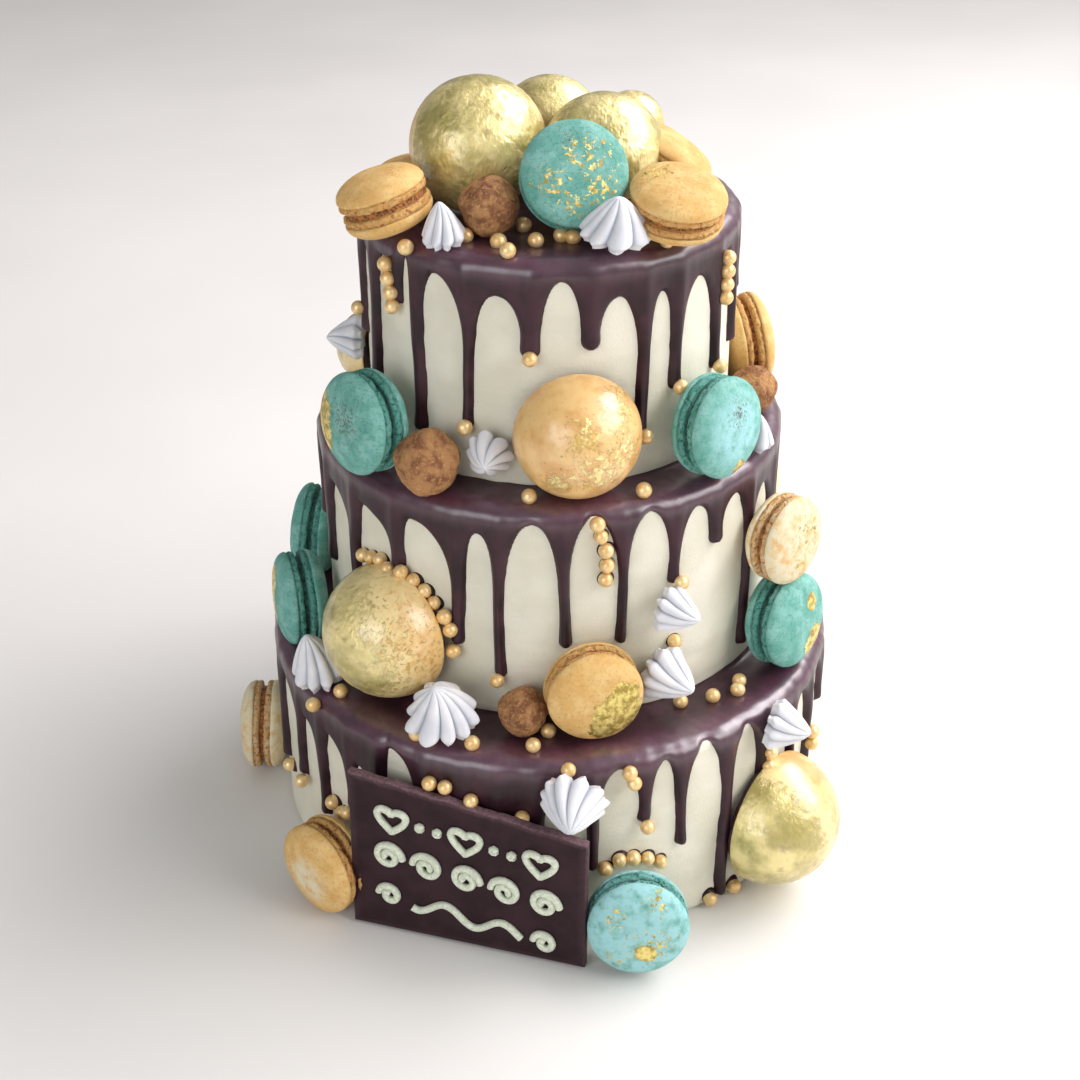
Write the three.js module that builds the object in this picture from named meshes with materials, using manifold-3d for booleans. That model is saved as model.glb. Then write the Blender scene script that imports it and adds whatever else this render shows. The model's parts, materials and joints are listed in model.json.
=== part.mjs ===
// A three-tier wedding cake: cream tiers with a dark chocolate drip, gold-leafed chocolate domes,
// macarons, meringue kisses, truffles, sugar pearls and a chocolate plaque.
// Millimetres, +Z up, the cake's front faces -Y and its foot stands on z = 0.
// A bearing is the angle round the cake from the front, in degrees, positive to the right.

import * as THREE from 'three';
import { mergeVertices } from 'three/addons/utils/BufferGeometryUtils.js';
import initManifold from 'manifold-3d';

const wasm = await initManifold();
wasm.setup();
const { Manifold, Mesh } = wasm;

// Driving sizes

const gap = 0.3; // air left between neighbouring pieces
const tiers = {
  bottom: { radius: 123, base: 0, top: 87, shift: 0 }, // shift: how far back the tier's axis stands
  middle: { radius: 98.5, base: 87 + gap, top: 184, shift: 6 },
  top: { radius: 76, base: 184 + gap, top: 279, shift: 2 },
};
const coat = { pool: 2, web: 1.5, ridge: 2.7, foot: 1.6, fall: 6, crown: 4.5, rim: 5 }; // the chocolate
const macaron = { radius: 20.3, half: 11.3 };
const pearl = { radius: 3.1, onLedge: 0.72, onDrip: 0.35, onCream: 0.7 }; // on...: its centre, in radii
const plaque = {
  width: 101, left: 77, right: 62, thick: 4.5, // left, right: the heights of its two ends
  bearing: -16.4, reach: 133, slide: 3.5, lean: 1.7,
};

// Where a topping stands: on the chocolate of a ledge, against the wall of the tier above it

const clear = coat.ridge + 3 * gap; // from a cream wall to what leans on it
const ledgeOn = (tier) => tier.top + coat.pool + 2 * gap;
const ledges = {
  floor: { z: gap, wall: tiers.bottom.radius, shift: 0 },
  bottom: { z: ledgeOn(tiers.bottom), wall: tiers.middle.radius, shift: tiers.middle.shift },
  middle: { z: ledgeOn(tiers.middle), wall: tiers.top.radius, shift: tiers.top.shift },
  top: { z: ledgeOn(tiers.top), wall: null, shift: tiers.top.shift },
};

const colours = {
  cream: { color: 0xe4dfc9, roughness: 0.75 },
  ganache: { color: 0x3b262b, roughness: 0.35 },
  plaque: { color: 0x38262a, roughness: 0.45 },
  teal: { color: 0x5cbfb6, roughness: 0.8 },
  peach: { color: 0xe6b672, roughness: 0.8 },
  dome: { color: 0xd9b36a, roughness: 0.35, metalness: 0.4 },
  truffle: { color: 0x7a4a34, roughness: 0.9 },
  kiss: { color: 0xf1f2f4, roughness: 0.7 },
};

// Drips: [bearing, length down from the tier's top, width, depth of the arch to its right].
// The seen side is listed, the rest runs by rule.

const drips = {
  top: {
    seen: [
      [-82, 54, 7, 9], [-65, 65, 7, 9], [-50, 26, 5, 5], [-42, 77, 6.5, 8], [-24.5, 70, 5, 13],
      [-5.5, 38, 7.5, 6.5], [12, 35, 7.5, 14], [28, 75, 6, 15], [40, 58, 6, 14], [59, 58, 6, 10],
      [74, 54, 5.5, 8], [91, 40, 6, 7], [107, 46, 6, 9],
    ],
    step: 18,
  },
  middle: {
    seen: [
      [-86, 50, 7, 8], [-70, 58, 8, 16], [-54, 60, 7, 14.6], [-38, 36, 7, 11], [-22, 64, 6.5, 10.6],
      [-11.7, 76, 5, 4.6], [3.4, 61, 5, 2.2], [16.9, 61, 4.6, 3.2], [30.3, 38.5, 5.5, 6.6],
      [43, 27.5, 7.5, 9], [56, 87, 6, 15], [71, 48, 6, 8],
    ],
    step: 17,
  },
  bottom: {
    seen: [
      [-88, 44, 7, 8], [-74, 61, 7.5, 9.2], [-60.3, 51, 6, 17], [-51.3, 60, 6.5, 14.8], [-42.3, 45, 5.5, 21],
      [-35, 44, 7.5, 4.5], [-24, 50, 9, 34], [-17, 44, 9, 36], [-10, 52, 9, 36], [-3, 46, 9, 10],
      [8, 53, 5, 3.8], [18.2, 32, 5.5, 3.6], [26, 49, 5.5, 1.5], [36.5, 86, 6.5, 2.5], [46, 74, 6, 6],
      [57, 40, 6, 8], [66, 52, 6, 8], [78, 36, 6, 8],
    ],
    step: 15,
  },
};

// Pearls that lie on the chocolate: ledge [bearing, reach], wall [bearing, drop]; and on the bare cream

const pearls = {
  top: {
    ledge: [
      [-29.8, 64.3], [-17.3, 65], [-12.3, 73.4], [-13, 45], [-5, 61], [4.5, 55.5], [8.7, 58], [36, 75],
      [130, 60], [150, 66], [160, 60], [205, 68], [214, 64], [250, 55],
    ],
    wall: [
      [-43, -1], [-52.6, 9.5], [-51.6, 15], [-50.6, 20.5], [-50, 26], [61, 10.5], [60.8, 16], [60.5, 21.5],
      [60.3, 27], [-82, 43], [-5.5, 36], [-24.5, 68], [28, 73], [40, 56], [59, 56],
    ],
    cream: [],
  },
  middle: {
    ledge: [[-5, 92], [23, 94], [150, 96], [196, 95], [204, 92]],
    wall: [
      [10.3, 2.8], [-40, 36], [-35.8, 34.6], [-24.4, 49.4], [-23, 55], [-22.4, 65], [-12, 75.6], [31, 36.6],
    ],
    cream: [
      [11.4, 9.5], [12.6, 16], [12.9, 22.7], [12.6, 29.1], [30.5, 65.5],
      [-49.9, 37.5], [-46.6, 36], [-43.3, 34.8], [-33.1, 38], [-30.1, 41.2],
      [-27.7, 45.6],
    ],
  },
  bottom: {
    ledge: [
      [-48.5, 116.6], [-26.7, 119.5], [-23.8, 120], [-15.3, 117.5], [-3.3, 114.9], [-0.3, 105.2],
      [40.1, 105.5], [49, 106], [46, 109.5], [32.7, 100.4], [140, 118], [146, 114], [186, 116], [240, 116],
    ],
    wall: [
      [-51, 0.5], [-22.4, 12.3], [-19.3, 12.4], [-14.4, 16.7], [-5, 22.5], [3.3, -1.5], [14.5, 3.1],
      [15.4, 8.4], [18.2, 31.8], [47, 20], [46.6, 26.5], [66, 35], [66, 41.2], [-58.8, 51], [-42.3, 46],
    ],
    cream: [
      [10.5, 51.6], [13.2, 48], [15.9, 48.2], [18.8, 50], [21.4, 53.4], [33.2, 83.6], [39.4, 83.6],
      [-69.5, 58.8], [-48, 48.6], [-45.1, 50.4],
    ],
  },
};

// Toppings: kind, the ledge it is on, its bearing, then how it differs from standing straight out from
// the wall: out and up shift it, turn and lean swing the way its face or tip points, size and tall scale it.

const toppings = [
  // crown
  ['dome', 'top', -70, { out: 30, lean: 35, turn: 50 }],
  ['dome', 'top', 56, { out: 25.5, lean: 35, turn: -41, size: 0.89 }],
  ['ball', 'top', 180, { out: 16.5, size: 0.8 }],
  ['ball', 'top', 145, { out: 61, size: 0.52 }],
  ['truffle', 'top', -25, { out: 54, size: 0.92 }],
  ['macaron_teal', 'top', 10.5, { out: 49.5, lean: 28, turn: -5 }],
  ['kiss', 'top', -34, { out: 72, size: 0.88, tall: 1.15, lean: 84, turn: -40 }],
  ['kiss', 'top', 20.5, { out: 71, size: 1.42, tall: 0.75, lean: 84, turn: 10 }],
  ['macaron_peach', 'top', -53.6, { out: 78.3, lean: 72, turn: -37, up: -2, size: 0.86, tall: 1.25 }],
  ['macaron_peach', 'top', 40.7, { out: 73.1, lean: 73, turn: -17, up: -0.9, size: 0.92, tall: 1.05 }],
  ['macaron_peach', 'top', -82, { out: 55, lean: 86, size: 0.72 }],
  ['macaron_peach', 'top', 78, { out: 48, lean: 57, turn: 12, size: 0.87 }],
  ['macaron_teal', 'top', 176, { out: 54, lean: 82 }],
  // middle tier's ledge
  ['macaron_teal', 'middle', -49.8, { lean: 6, turn: 1, out: 5, size: 1.02 }],
  ['truffle', 'middle', -31, { size: 1.04 }],
  ['kiss', 'middle', -16.3, { lean: 2, turn: 6, up: 6, size: 0.95 }],
  ['dome', 'middle', 7.5, { size: 0.91 }],
  ['macaron_teal', 'middle', 45.2, { lean: 7.5, turn: 1, out: 1.7 }],
  ['kiss', 'middle', 64, { out: 9, lean: 82, size: 0.84 }],
  ['truffle', 'middle', 86, { size: 0.8, out: -2.5 }],
  ['macaron_peach', 'middle', 104, { lean: 6, turn: -3, out: -3 }],
  ['kiss', 'middle', -91.5, { up: 20, size: 0.95 }],
  ['dome', 'middle', -107, { size: 0.62 }],
  ['dome', 'middle', 136, { size: 0.91 }],
  ['macaron_teal', 'middle', 168, { lean: 5 }],
  ['macaron_peach', 'middle', 212, { lean: 8, turn: 6 }],
  // bottom tier's ledge
  ['macaron_teal', 'bottom', -101.5, { lean: 4, turn: 6, out: -3 }],
  ['macaron_teal', 'bottom', -70.4, { lean: 1, turn: -1.5, out: 1.8 }],
  ['dome', 'bottom', -39.3, { size: 1.03, up: 2.5 }],
  ['kiss', 'bottom', -53.1, { out: 13, lean: 76, size: 1.18, tall: 1.2, turn: -10 }],
  ['kiss', 'bottom', -21.1, { out: 10.4, lean: 66, size: 1.49, turn: 8 }],
  ['truffle', 'bottom', -5.6, { size: 0.81, out: -3 }],
  ['macaron_peach', 'bottom', 9.1, { lean: 3, turn: 1.5, out: -2.4, size: 0.96 }],
  ['kiss', 'bottom', 26.3, { turn: 22, lean: -12, up: 5.7, size: 1.2 }],
  ['kiss', 'bottom', 28, { turn: 28, lean: -6, up: 38, size: 1.02 }],
  ['macaron_teal', 'bottom', 60.4, { lean: 6.4, turn: -10, out: 1.7 }],
  ['macaron_peach', 'bottom', 60, { lean: 3, turn: -13, up: 41, size: 0.92 }],
  ['kiss', 'bottom', 79, { out: 8, lean: 84, size: 0.84 }],
  ['dome', 'bottom', 126, { size: 1.02 }],
  ['macaron_teal', 'bottom', 156, { lean: 5 }],
  ['kiss', 'bottom', 178, { out: 1, lean: 80, size: 1.1 }],
  ['macaron_peach', 'bottom', 200, { lean: 6, turn: 5 }],
  ['dome', 'bottom', 231, { size: 0.91 }],
  // floor, and the bottom tier's wall
  ['macaron_teal', 'floor', 14.3, { out: 5.8, lean: 9, turn: -14, size: 1.01 }],
  ['macaron_peach', 'floor', -42.6, { out: 1.5, lean: 1, turn: 0 }],
  ['dome', 'floor', 48.3, { size: 1.06, up: 3, turn: 2 }],
  ['macaron_peach', 'floor', -89.1, { lean: 2, turn: 1.8, out: -3 }],
  ['kiss', 'floor', 3.7, { up: 60, lean: -10, turn: -9, size: 1.36, tall: 0.9 }],
  ['kiss', 'floor', 46.8, { up: 71.5, lean: -8, turn: 22, size: 1.08 }],
  ['macaron_teal', 'floor', 120, { lean: 5 }],
  ['dome', 'floor', 165, { size: 1.02 }],
  ['macaron_peach', 'floor', 214, { lean: 6, turn: -6 }],
];

// Solids and meshes

function solidOf(geometry) {
  const plain = geometry.index ? geometry.toNonIndexed() : geometry;
  const bare = new THREE.BufferGeometry().setAttribute('position', plain.getAttribute('position'));
  const merged = mergeVertices(bare, 1e-4);
  return new Manifold(new Mesh({
    numProp: 3,
    vertProperties: merged.attributes.position.array,
    triVerts: new Uint32Array(merged.index.array),
  }));
}

function meshOf(name, solid, finish) {
  const { numProp, numVert, vertProperties, triVerts } = solid.getMesh();
  const points = new Float32Array(numVert * 3);
  for (let i = 0; i < numVert; i++) points.set(vertProperties.subarray(i * numProp, i * numProp + 3), i * 3);
  const geometry = new THREE.BufferGeometry()
    .setAttribute('position', new THREE.BufferAttribute(points, 3))
    .setIndex(new THREE.BufferAttribute(triVerts, 1));
  geometry.computeVertexNormals();
  const mesh = new THREE.Mesh(geometry, new THREE.MeshStandardMaterial(finish));
  mesh.name = name;
  return mesh;
}

const angle = THREE.MathUtils.degToRad;

function spot(bearing, reach, z, shift = 0) {
  return new THREE.Vector3(reach * Math.sin(angle(bearing)), shift - reach * Math.cos(angle(bearing)), z);
}

// Turns a geometry's own +Z to a heading and a lean above the horizon, and carries it to a place.
function pose(geometry, place, heading, lean) {
  const aim = spot(heading, Math.cos(angle(lean)), Math.sin(angle(lean)));
  const turn = new THREE.Quaternion().setFromUnitVectors(new THREE.Vector3(0, 0, 1), aim);
  return geometry.clone().applyQuaternion(turn).translate(place.x, place.y, place.z);
}

function lathe(points, sides) {
  const profile = points.map(([r, z]) => new THREE.Vector2(r, z));
  return new THREE.LatheGeometry(profile, sides).rotateX(Math.PI / 2);
}

// Cream tiers

const sides = 60; // round a tier

function tierGeometry({ radius, base, top, shift }, grow = 0) {
  const r = radius + grow;
  const profile = [[0, base - grow], [r, base - grow], [r, top + grow], [0, top + grow]];
  return lathe(profile, sides).translate(0, shift, 0);
}

// Chocolate: rings of points round the tier, fine along the wall where the drips run, coarse elsewhere

function dripList({ seen, step }) {
  const list = [...seen];
  const last = seen[0][0] + 360;
  const count = Math.round((last - seen.at(-1)[0]) / step) - 1;
  const stride = (last - seen.at(-1)[0]) / (count + 1);
  for (let i = 1; i <= count; i++) {
    const bearing = seen.at(-1)[0] + stride * (i + 0.18 * Math.sin(i * 2.3));
    const length = 47 + 17 * Math.sin(i * 1.9) + 7 * Math.cos(i * 4.1);
    list.push([bearing, length, 6 + Math.sin(i * 3.1), 9 + 5 * Math.sin(i * 2.7)]);
  }
  return list;
}

// The drips as columns: bearing, how low the edge hangs, how proud the face stands.
function dripColumns(tier, style) {
  const list = dripList(style);
  const foot = THREE.MathUtils.radToDeg(coat.foot / tier.radius);
  const columns = [];
  list.forEach(([bearing, length, width, arch], i) => {
    const half = THREE.MathUtils.radToDeg(width / 2 / tier.radius);
    const before = list.at(i - 1);
    const behind = bearing - before[0] + (i ? 0 : 360);
    const ahead = (list[i + 1]?.[0] ?? list[0][0] + 360) - bearing;
    const flank = (sign, room, crown) => {
      const reach = Math.min(half + foot, room * 0.42);
      return [bearing + sign * reach, Math.min(crown + coat.fall, length - 4), coat.web];
    };
    columns.push(flank(-1, behind, before[3]));
    columns.push([bearing - half * 0.8, length - width * 0.45, coat.web * 0.9]);
    columns.push([bearing, length, coat.ridge]);
    columns.push([bearing + half * 0.8, length - width * 0.45, coat.web * 0.9]);
    columns.push(flank(1, ahead, arch));
    columns.push([bearing + ahead / 2, Math.max(arch, coat.crown), coat.web]);
  });
  return columns.sort((a, b) => a[0] - b[0]);
}

// Joins two closed rings of points, whatever their counts, by stepping to the nearer next bearing.
function stitch(rings, a, b, faces) {
  const A = rings[a], B = rings[b];
  let i = 0, j = 0;
  const at = (ring, k) => ring.bearings[k % ring.count] + 360 * Math.floor(k / ring.count);
  while (i < A.count || j < B.count) {
    if (j >= B.count || (i < A.count && at(A, i + 1) <= at(B, j + 1))) {
      faces.push([A.index(i), A.index(i + 1), B.index(j)]);
      i++;
    } else {
      faces.push([A.index(i), B.index(j + 1), B.index(j)]);
      j++;
    }
  }
}

function skirtGeometry(tier, above, style, grow = 0) {
  const columns = dripColumns(tier, style);
  const fine = columns.map((c) => c[0]);
  const coarse = Array.from({ length: sides }, (_, i) => fine[0] + (i * 360) / sides);
  const inner = tier.radius + gap + 0.15 - grow;
  const top = tier.top + gap + coat.pool + grow;
  const low = (c) => tier.top - c[1] - grow;
  const hole = above ? above.radius + 2 * gap - grow : 0;
  const slide = above ? above.shift : tier.shift;
  const points = [], rings = [], faces = [];
  const ring = (bearings, place) => {
    const start = points.length;
    bearings.forEach((b, k) => points.push(place(b, columns[k])));
    rings.push({ bearings, count: bearings.length, index: (k) => start + (k % bearings.length) });
  };
  const round = (b, reach, z) => spot(b, reach, z, tier.shift);
  if (above) ring(coarse, (b) => spot(b, hole, top, slide));
  ring(coarse, (b) => round(b, tier.radius - coat.rim, top));
  ring(fine, (b, c) => round(b, tier.radius + c[2] * 0.55 + grow, top - 0.9));
  ring(fine, (b, c) => round(b, tier.radius + gap + Math.min(c[2], 2) + grow, tier.top - 3));
  ring(fine, (b, c) => round(b, tier.radius + gap + c[2] + grow, low(c) + (c[2] > 2 ? 2.6 : 1)));
  ring(fine, (b, c) => round(b, inner, low(c)));
  ring(coarse, (b) => round(b, inner, tier.top + gap - grow));
  if (above) ring(coarse, (b) => spot(b, hole, tier.top + gap - grow, slide));
  for (let k = 0; k + 1 < rings.length; k++) stitch(rings, k, k + 1, faces);
  if (above) stitch(rings, rings.length - 1, 0, faces);
  else
    [[0, top], [rings.length - 1, tier.top + gap - grow]].forEach(([k, z], end) => {
      const centre = points.push(round(0, 0, z)) - 1;
      const { count, index } = rings[k];
      for (let i = 0; i < count; i++)
        faces.push(end ? [index(i), index(i + 1), centre] : [index(i + 1), index(i), centre]);
    });
  const geometry = new THREE.BufferGeometry().setFromPoints(points);
  geometry.setIndex(faces.flatMap(([a, b, c]) => [a, c, b]));
  return geometry;
}

// Pearls, as small solids at their places on one tier

function pearlSolids(tier, { ledge, wall, cream }, grow = 0) {
  const bead = (place) =>
    solidOf(new THREE.IcosahedronGeometry(pearl.radius + grow, 0).translate(place.x, place.y, place.z));
  const top = tier.top + gap + coat.pool + pearl.radius * pearl.onLedge;
  const front = tier.radius + gap + coat.ridge + pearl.radius * pearl.onDrip;
  const bare = tier.radius + pearl.radius * pearl.onCream;
  return {
    chocolate: [
      ...ledge.map(([b, reach]) => bead(spot(b, reach, top, tier.shift))),
      ...wall.map(([b, drop]) => bead(spot(b, front, tier.top - drop, tier.shift))),
    ],
    cream: cream.map(([b, drop]) => bead(spot(b, bare, tier.top - drop, tier.shift))),
  };
}

// Toppings, each about its own centre with its face or tip along +Z

function macaronGeometry() {
  const { radius: r, half: h } = macaron;
  const upper = [[r * 0.7, h * 0.88], [r, h * 0.36], [r * 0.91, 0]];
  const lower = [[r, -h * 0.36], [r * 0.7, -h * 0.88]];
  return lathe([[0, h], ...upper, ...lower, [0, -h]].reverse(), 13);
}

const domeRadius = 27.5;
const domeRim = 1.5; // the straight band below the half sphere
const domeStand = 3; // its back stands off the cream, so the drips run on behind it

function domeGeometry() {
  const rise = [0, 26, 50, 72, 90].map(angle);
  const arc = rise.map((a) => [domeRadius * Math.cos(a), domeRadius * Math.sin(a)]);
  return lathe([[0, -domeRim], [domeRadius, -domeRim], ...arc], 15);
}

function ballGeometry() {
  return new THREE.IcosahedronGeometry(domeRadius, 2);
}

const truffleRadius = 12.5;

function truffleGeometry() {
  const geometry = new THREE.IcosahedronGeometry(truffleRadius, 1);
  const p = geometry.attributes.position;
  for (let i = 0; i < p.count; i++) {
    const swell = 1 + 0.035 * Math.sin(p.getX(i) * 0.4 + 1) + 0.03 * Math.sin(p.getY(i) * 0.5);
    p.setXYZ(i, p.getX(i) * swell, p.getY(i) * swell, p.getZ(i) * swell);
  }
  return geometry;
}

// A piped kiss: eight lobes that twist a little and draw up to a point.
// foot: how deep it goes below its centre.
const kiss = { radius: 10.5, height: 16.5, foot: 6.6, lobes: 8, dent: 0.22, twist: 14 };

function kissGeometry() {
  const rings = [[0, 0.88], [0.18, 1], [0.56, 0.55]];
  const round = kiss.lobes * 2;
  const points = [], faces = [];
  rings.forEach(([up, wide]) => {
    for (let i = 0; i < round; i++) {
      const r = kiss.radius * wide * (i % 2 ? 1 - kiss.dent : 1);
      const a = (i / round) * 360 + up * kiss.twist;
      points.push(spot(a, r, kiss.height * up - kiss.foot));
    }
  });
  const tip = points.push(new THREE.Vector3(0, 0, kiss.height - kiss.foot)) - 1;
  const foot = points.push(new THREE.Vector3(0, 0, -kiss.foot)) - 1;
  for (let i = 0; i < round; i++) {
    const j = (i + 1) % round;
    for (let k = 0; k + 1 < rings.length; k++) {
      const a = k * round + i, b = k * round + j;
      faces.push([a, b, b + round], [a, b + round, a + round]);
    }
    const last = (rings.length - 1) * round;
    faces.push([last + i, last + j, tip], [j, i, foot]);
  }
  return new THREE.BufferGeometry().setFromPoints(points).setIndex(faces.flat());
}

// shape, how deep it stands off the wall, how high its centre rests on edge and lying, and its finish
const disc = { shape: macaronGeometry(), depth: macaron.half, flat: macaron.radius, thick: macaron.half };
const half = { shape: domeGeometry(), depth: domeRim + domeStand - clear, flat: domeRadius, thick: domeRim };
const round = { depth: truffleRadius, flat: truffleRadius, thick: 0 };
const kinds = {
  macaron_teal: { ...disc, finish: 'teal' },
  macaron_peach: { ...disc, finish: 'peach' },
  dome: { ...half, finish: 'dome' },
  ball: { shape: ballGeometry(), depth: domeRadius, flat: domeRadius, thick: 0, finish: 'dome' },
  truffle: { ...round, shape: truffleGeometry(), finish: 'truffle' },
  kiss: { shape: kissGeometry(), depth: kiss.foot, flat: kiss.radius, thick: kiss.foot, finish: 'kiss' },
};

function toppingGeometry([kind, on, bearing, change], grow = 0) {
  const { out = 0, up = 0, turn = 0, lean = 0, size = 1, tall = 1 } = change;
  const { shape, depth, flat, thick } = kinds[kind];
  const ledge = ledges[on];
  const reach = (ledge.wall === null ? 0 : ledge.wall + clear + depth * size) + out;
  const tilt = angle(lean);
  const round = kind === 'ball' || kind === 'truffle';
  const rest = round ? flat : flat * Math.cos(tilt) + thick * Math.abs(Math.sin(tilt));
  const place = spot(bearing, reach, ledge.z + rest * size + up, ledge.shift);
  const swell = size + grow / Math.min(depth > 3 ? depth : flat, flat);
  return pose(shape.clone().scale(swell, swell, swell * tall), place, bearing + turn, lean);
}

// The plaque: a slab whose upper edge slopes, leaning on the bottom tier

function plaqueGeometry(grow = 0) {
  const { width, left, right, thick, bearing, reach, slide, lean } = plaque;
  const outline = new THREE.Shape([
    new THREE.Vector2(-width / 2 - grow, 0),
    new THREE.Vector2(width / 2 + grow, 0),
    new THREE.Vector2(width / 2 + grow, right + grow),
    new THREE.Vector2(-width / 2 - grow, left + grow),
  ]);
  const slab = new THREE.ExtrudeGeometry(outline, { depth: thick + 2 * grow, bevelEnabled: false });
  slab.translate(0, 0, -thick - grow).rotateX(Math.PI / 2 - angle(lean));
  const foot = spot(bearing, reach, gap);
  return slab.translate(slide, 0, 0).rotateZ(angle(bearing)).translate(foot.x, foot.y, foot.z);
}

// Assembly: each piece is cut back by what was placed before it, so neighbours never touch

const cake = new THREE.Group();
cake.name = 'wedding_cake';
const placed = [];

function keep(name, solid, grown, finish) {
  const largest = solid.decompose().sort((a, b) => b.volume() - a.volume())[0];
  cake.add(meshOf(name, largest, colours[finish]));
  placed.push(...grown);
}

function cutBack(solid) {
  const box = solid.boundingBox();
  return placed.reduce((left, other) => {
    const o = other.boundingBox();
    const apart = [0, 1, 2].some((i) => box.min[i] > o.max[i] || o.min[i] > box.max[i]);
    return apart || left.intersect(other).volume() < 1e-3 ? left : left.subtract(other);
  }, solid);
}

const above = { bottom: tiers.middle, middle: tiers.top, top: null };
for (const [name, tier] of Object.entries(tiers)) {
  const beads = pearlSolids(tier, pearls[name]);
  const wide = pearlSolids(tier, pearls[name], gap + 0.1);
  const body = Manifold.union([solidOf(tierGeometry(tier)), ...beads.cream]);
  keep(`tier_${name}`, body, [solidOf(tierGeometry(tier, gap)), ...wide.cream], 'cream');
  const skirt = Manifold.union([solidOf(skirtGeometry(tier, above[name], drips[name])), ...beads.chocolate]);
  const shell = solidOf(skirtGeometry(tier, above[name], drips[name], gap));
  keep(`ganache_${name}`, skirt, [shell, ...wide.chocolate], 'ganache');
}

keep('plaque', cutBack(solidOf(plaqueGeometry())), [solidOf(plaqueGeometry(gap))], 'plaque');

const counts = {};
for (const topping of toppings) {
  const [kind] = topping;
  counts[kind] = (counts[kind] ?? 0) + 1;
  const solid = cutBack(solidOf(toppingGeometry(topping)));
  keep(`${kind}_${counts[kind]}`, solid, [solidOf(toppingGeometry(topping, gap))], kinds[kind].finish);
}

export default cake;
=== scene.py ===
import json
from math import cos, pi, radians, sin

import bpy
import bmesh
import numpy as np
from mathutils import Matrix, Vector

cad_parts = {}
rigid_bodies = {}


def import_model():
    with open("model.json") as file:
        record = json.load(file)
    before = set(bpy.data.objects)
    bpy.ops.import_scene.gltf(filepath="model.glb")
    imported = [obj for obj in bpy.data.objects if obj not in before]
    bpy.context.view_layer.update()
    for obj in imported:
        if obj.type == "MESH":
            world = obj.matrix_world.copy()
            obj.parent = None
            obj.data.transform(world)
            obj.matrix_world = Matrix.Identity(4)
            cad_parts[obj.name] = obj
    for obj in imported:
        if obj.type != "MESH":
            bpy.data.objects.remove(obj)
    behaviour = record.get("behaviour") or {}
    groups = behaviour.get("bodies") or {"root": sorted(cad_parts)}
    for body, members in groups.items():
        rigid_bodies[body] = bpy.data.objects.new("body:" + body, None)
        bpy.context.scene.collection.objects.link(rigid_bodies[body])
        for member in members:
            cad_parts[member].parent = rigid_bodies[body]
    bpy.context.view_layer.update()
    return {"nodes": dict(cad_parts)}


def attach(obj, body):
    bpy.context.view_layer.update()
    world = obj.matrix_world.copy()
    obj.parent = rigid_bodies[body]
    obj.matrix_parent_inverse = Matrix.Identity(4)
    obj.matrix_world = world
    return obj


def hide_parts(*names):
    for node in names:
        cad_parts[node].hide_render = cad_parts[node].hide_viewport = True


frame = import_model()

# A three-tier wedding cake. Sizes are in millimetres, like the solids; mm turns them into Blender's metres.
# A bearing is the angle round the cake from the front, in degrees, positive to the right.

mm = 0.001
print("cake: frame loaded with", len(frame["nodes"]), "nodes")

# Sizes that the pieces share with the solids

gap = 0.3
tiers = {
    "bottom": dict(radius=123, base=0, top=87, shift=0),
    "middle": dict(radius=98.5, base=87 + gap, top=184, shift=6),
    "top": dict(radius=76, base=184 + gap, top=279, shift=2),
}
pool, ridge = 2, 2.7  # in the solids: how thick the chocolate lies, and how proud a drip hangs
clear = ridge + 3 * gap
ledges = {
    "floor": dict(z=gap, wall=tiers["bottom"]["radius"], shift=0),
    "bottom": dict(z=tiers["bottom"]["top"] + pool + 2 * gap, wall=tiers["middle"]["radius"], shift=6),
    "middle": dict(z=tiers["middle"]["top"] + pool + 2 * gap, wall=tiers["top"]["radius"], shift=2),
    "top": dict(z=tiers["top"]["top"] + pool + 2 * gap, wall=None, shift=2),
}


def spot(bearing, reach, z, shift=0):
    a = np.radians(bearing)
    return np.stack(np.broadcast_arrays(reach * np.sin(a), shift - reach * np.cos(a), z), -1)


# Smooth noise from -1 to 1, for shapes

lattice = np.random.default_rng(11).uniform(-1, 1, (32, 32, 32))


def softNoise(points, size, octaves=1, seed=0):
    total, weight = 0, 0
    for k in range(octaves):
        p = np.asarray(points) / np.asarray(size) * 2**k + 7.31 * seed + 3.7 * k
        cell = np.floor(p).astype(int)
        f = p - cell
        f = f**3 * (f * (f * 6 - 15) + 10)
        value = 0
        for corner in np.ndindex(2, 2, 2):
            share = np.prod(np.where(corner, f, 1 - f), -1)
            x, y, z = np.moveaxis((cell + corner) % 32, -1, 0)
            value = value + share * lattice[x, y, z]
        total = total + value / 2**k
        weight += 1 / 2**k
    return total / weight * 1.4


def around(reach, turn, z):
    return np.stack(np.broadcast_arrays(reach * np.cos(turn), reach * np.sin(turn), z), -1)


def smoothStep(x, low, high):
    t = np.clip((x - low) / (high - low), 0, 1)
    return t * t * (3 - 2 * t)


# Node trees: arithmetic on sockets, and one way to add any other node


class Wire:
    def __init__(self, board, socket):
        self.board, self.socket = board, socket

    def work(self, operation, *others):
        inputs = dict(enumerate((self, *others)))
        return self.board.node("ShaderNodeMath", dict(operation=operation), inputs)

    def __add__(self, other):
        return self.work("ADD", other)

    def __sub__(self, other):
        return self.work("SUBTRACT", other)

    def __rsub__(self, other):
        return self * -1 + other

    def __mul__(self, other):
        return self.work("MULTIPLY", other)

    __radd__, __rmul__ = __add__, __mul__

    def ramp(self, low, high, start=0.0, end=1.0):  # eased from start at low to end at high
        inputs = {"Value": self, "From Min": low, "From Max": high, "To Min": start, "To Max": end}
        return self.board.node("ShaderNodeMapRange", dict(interpolation_type="SMOOTHSTEP"), inputs)


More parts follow.
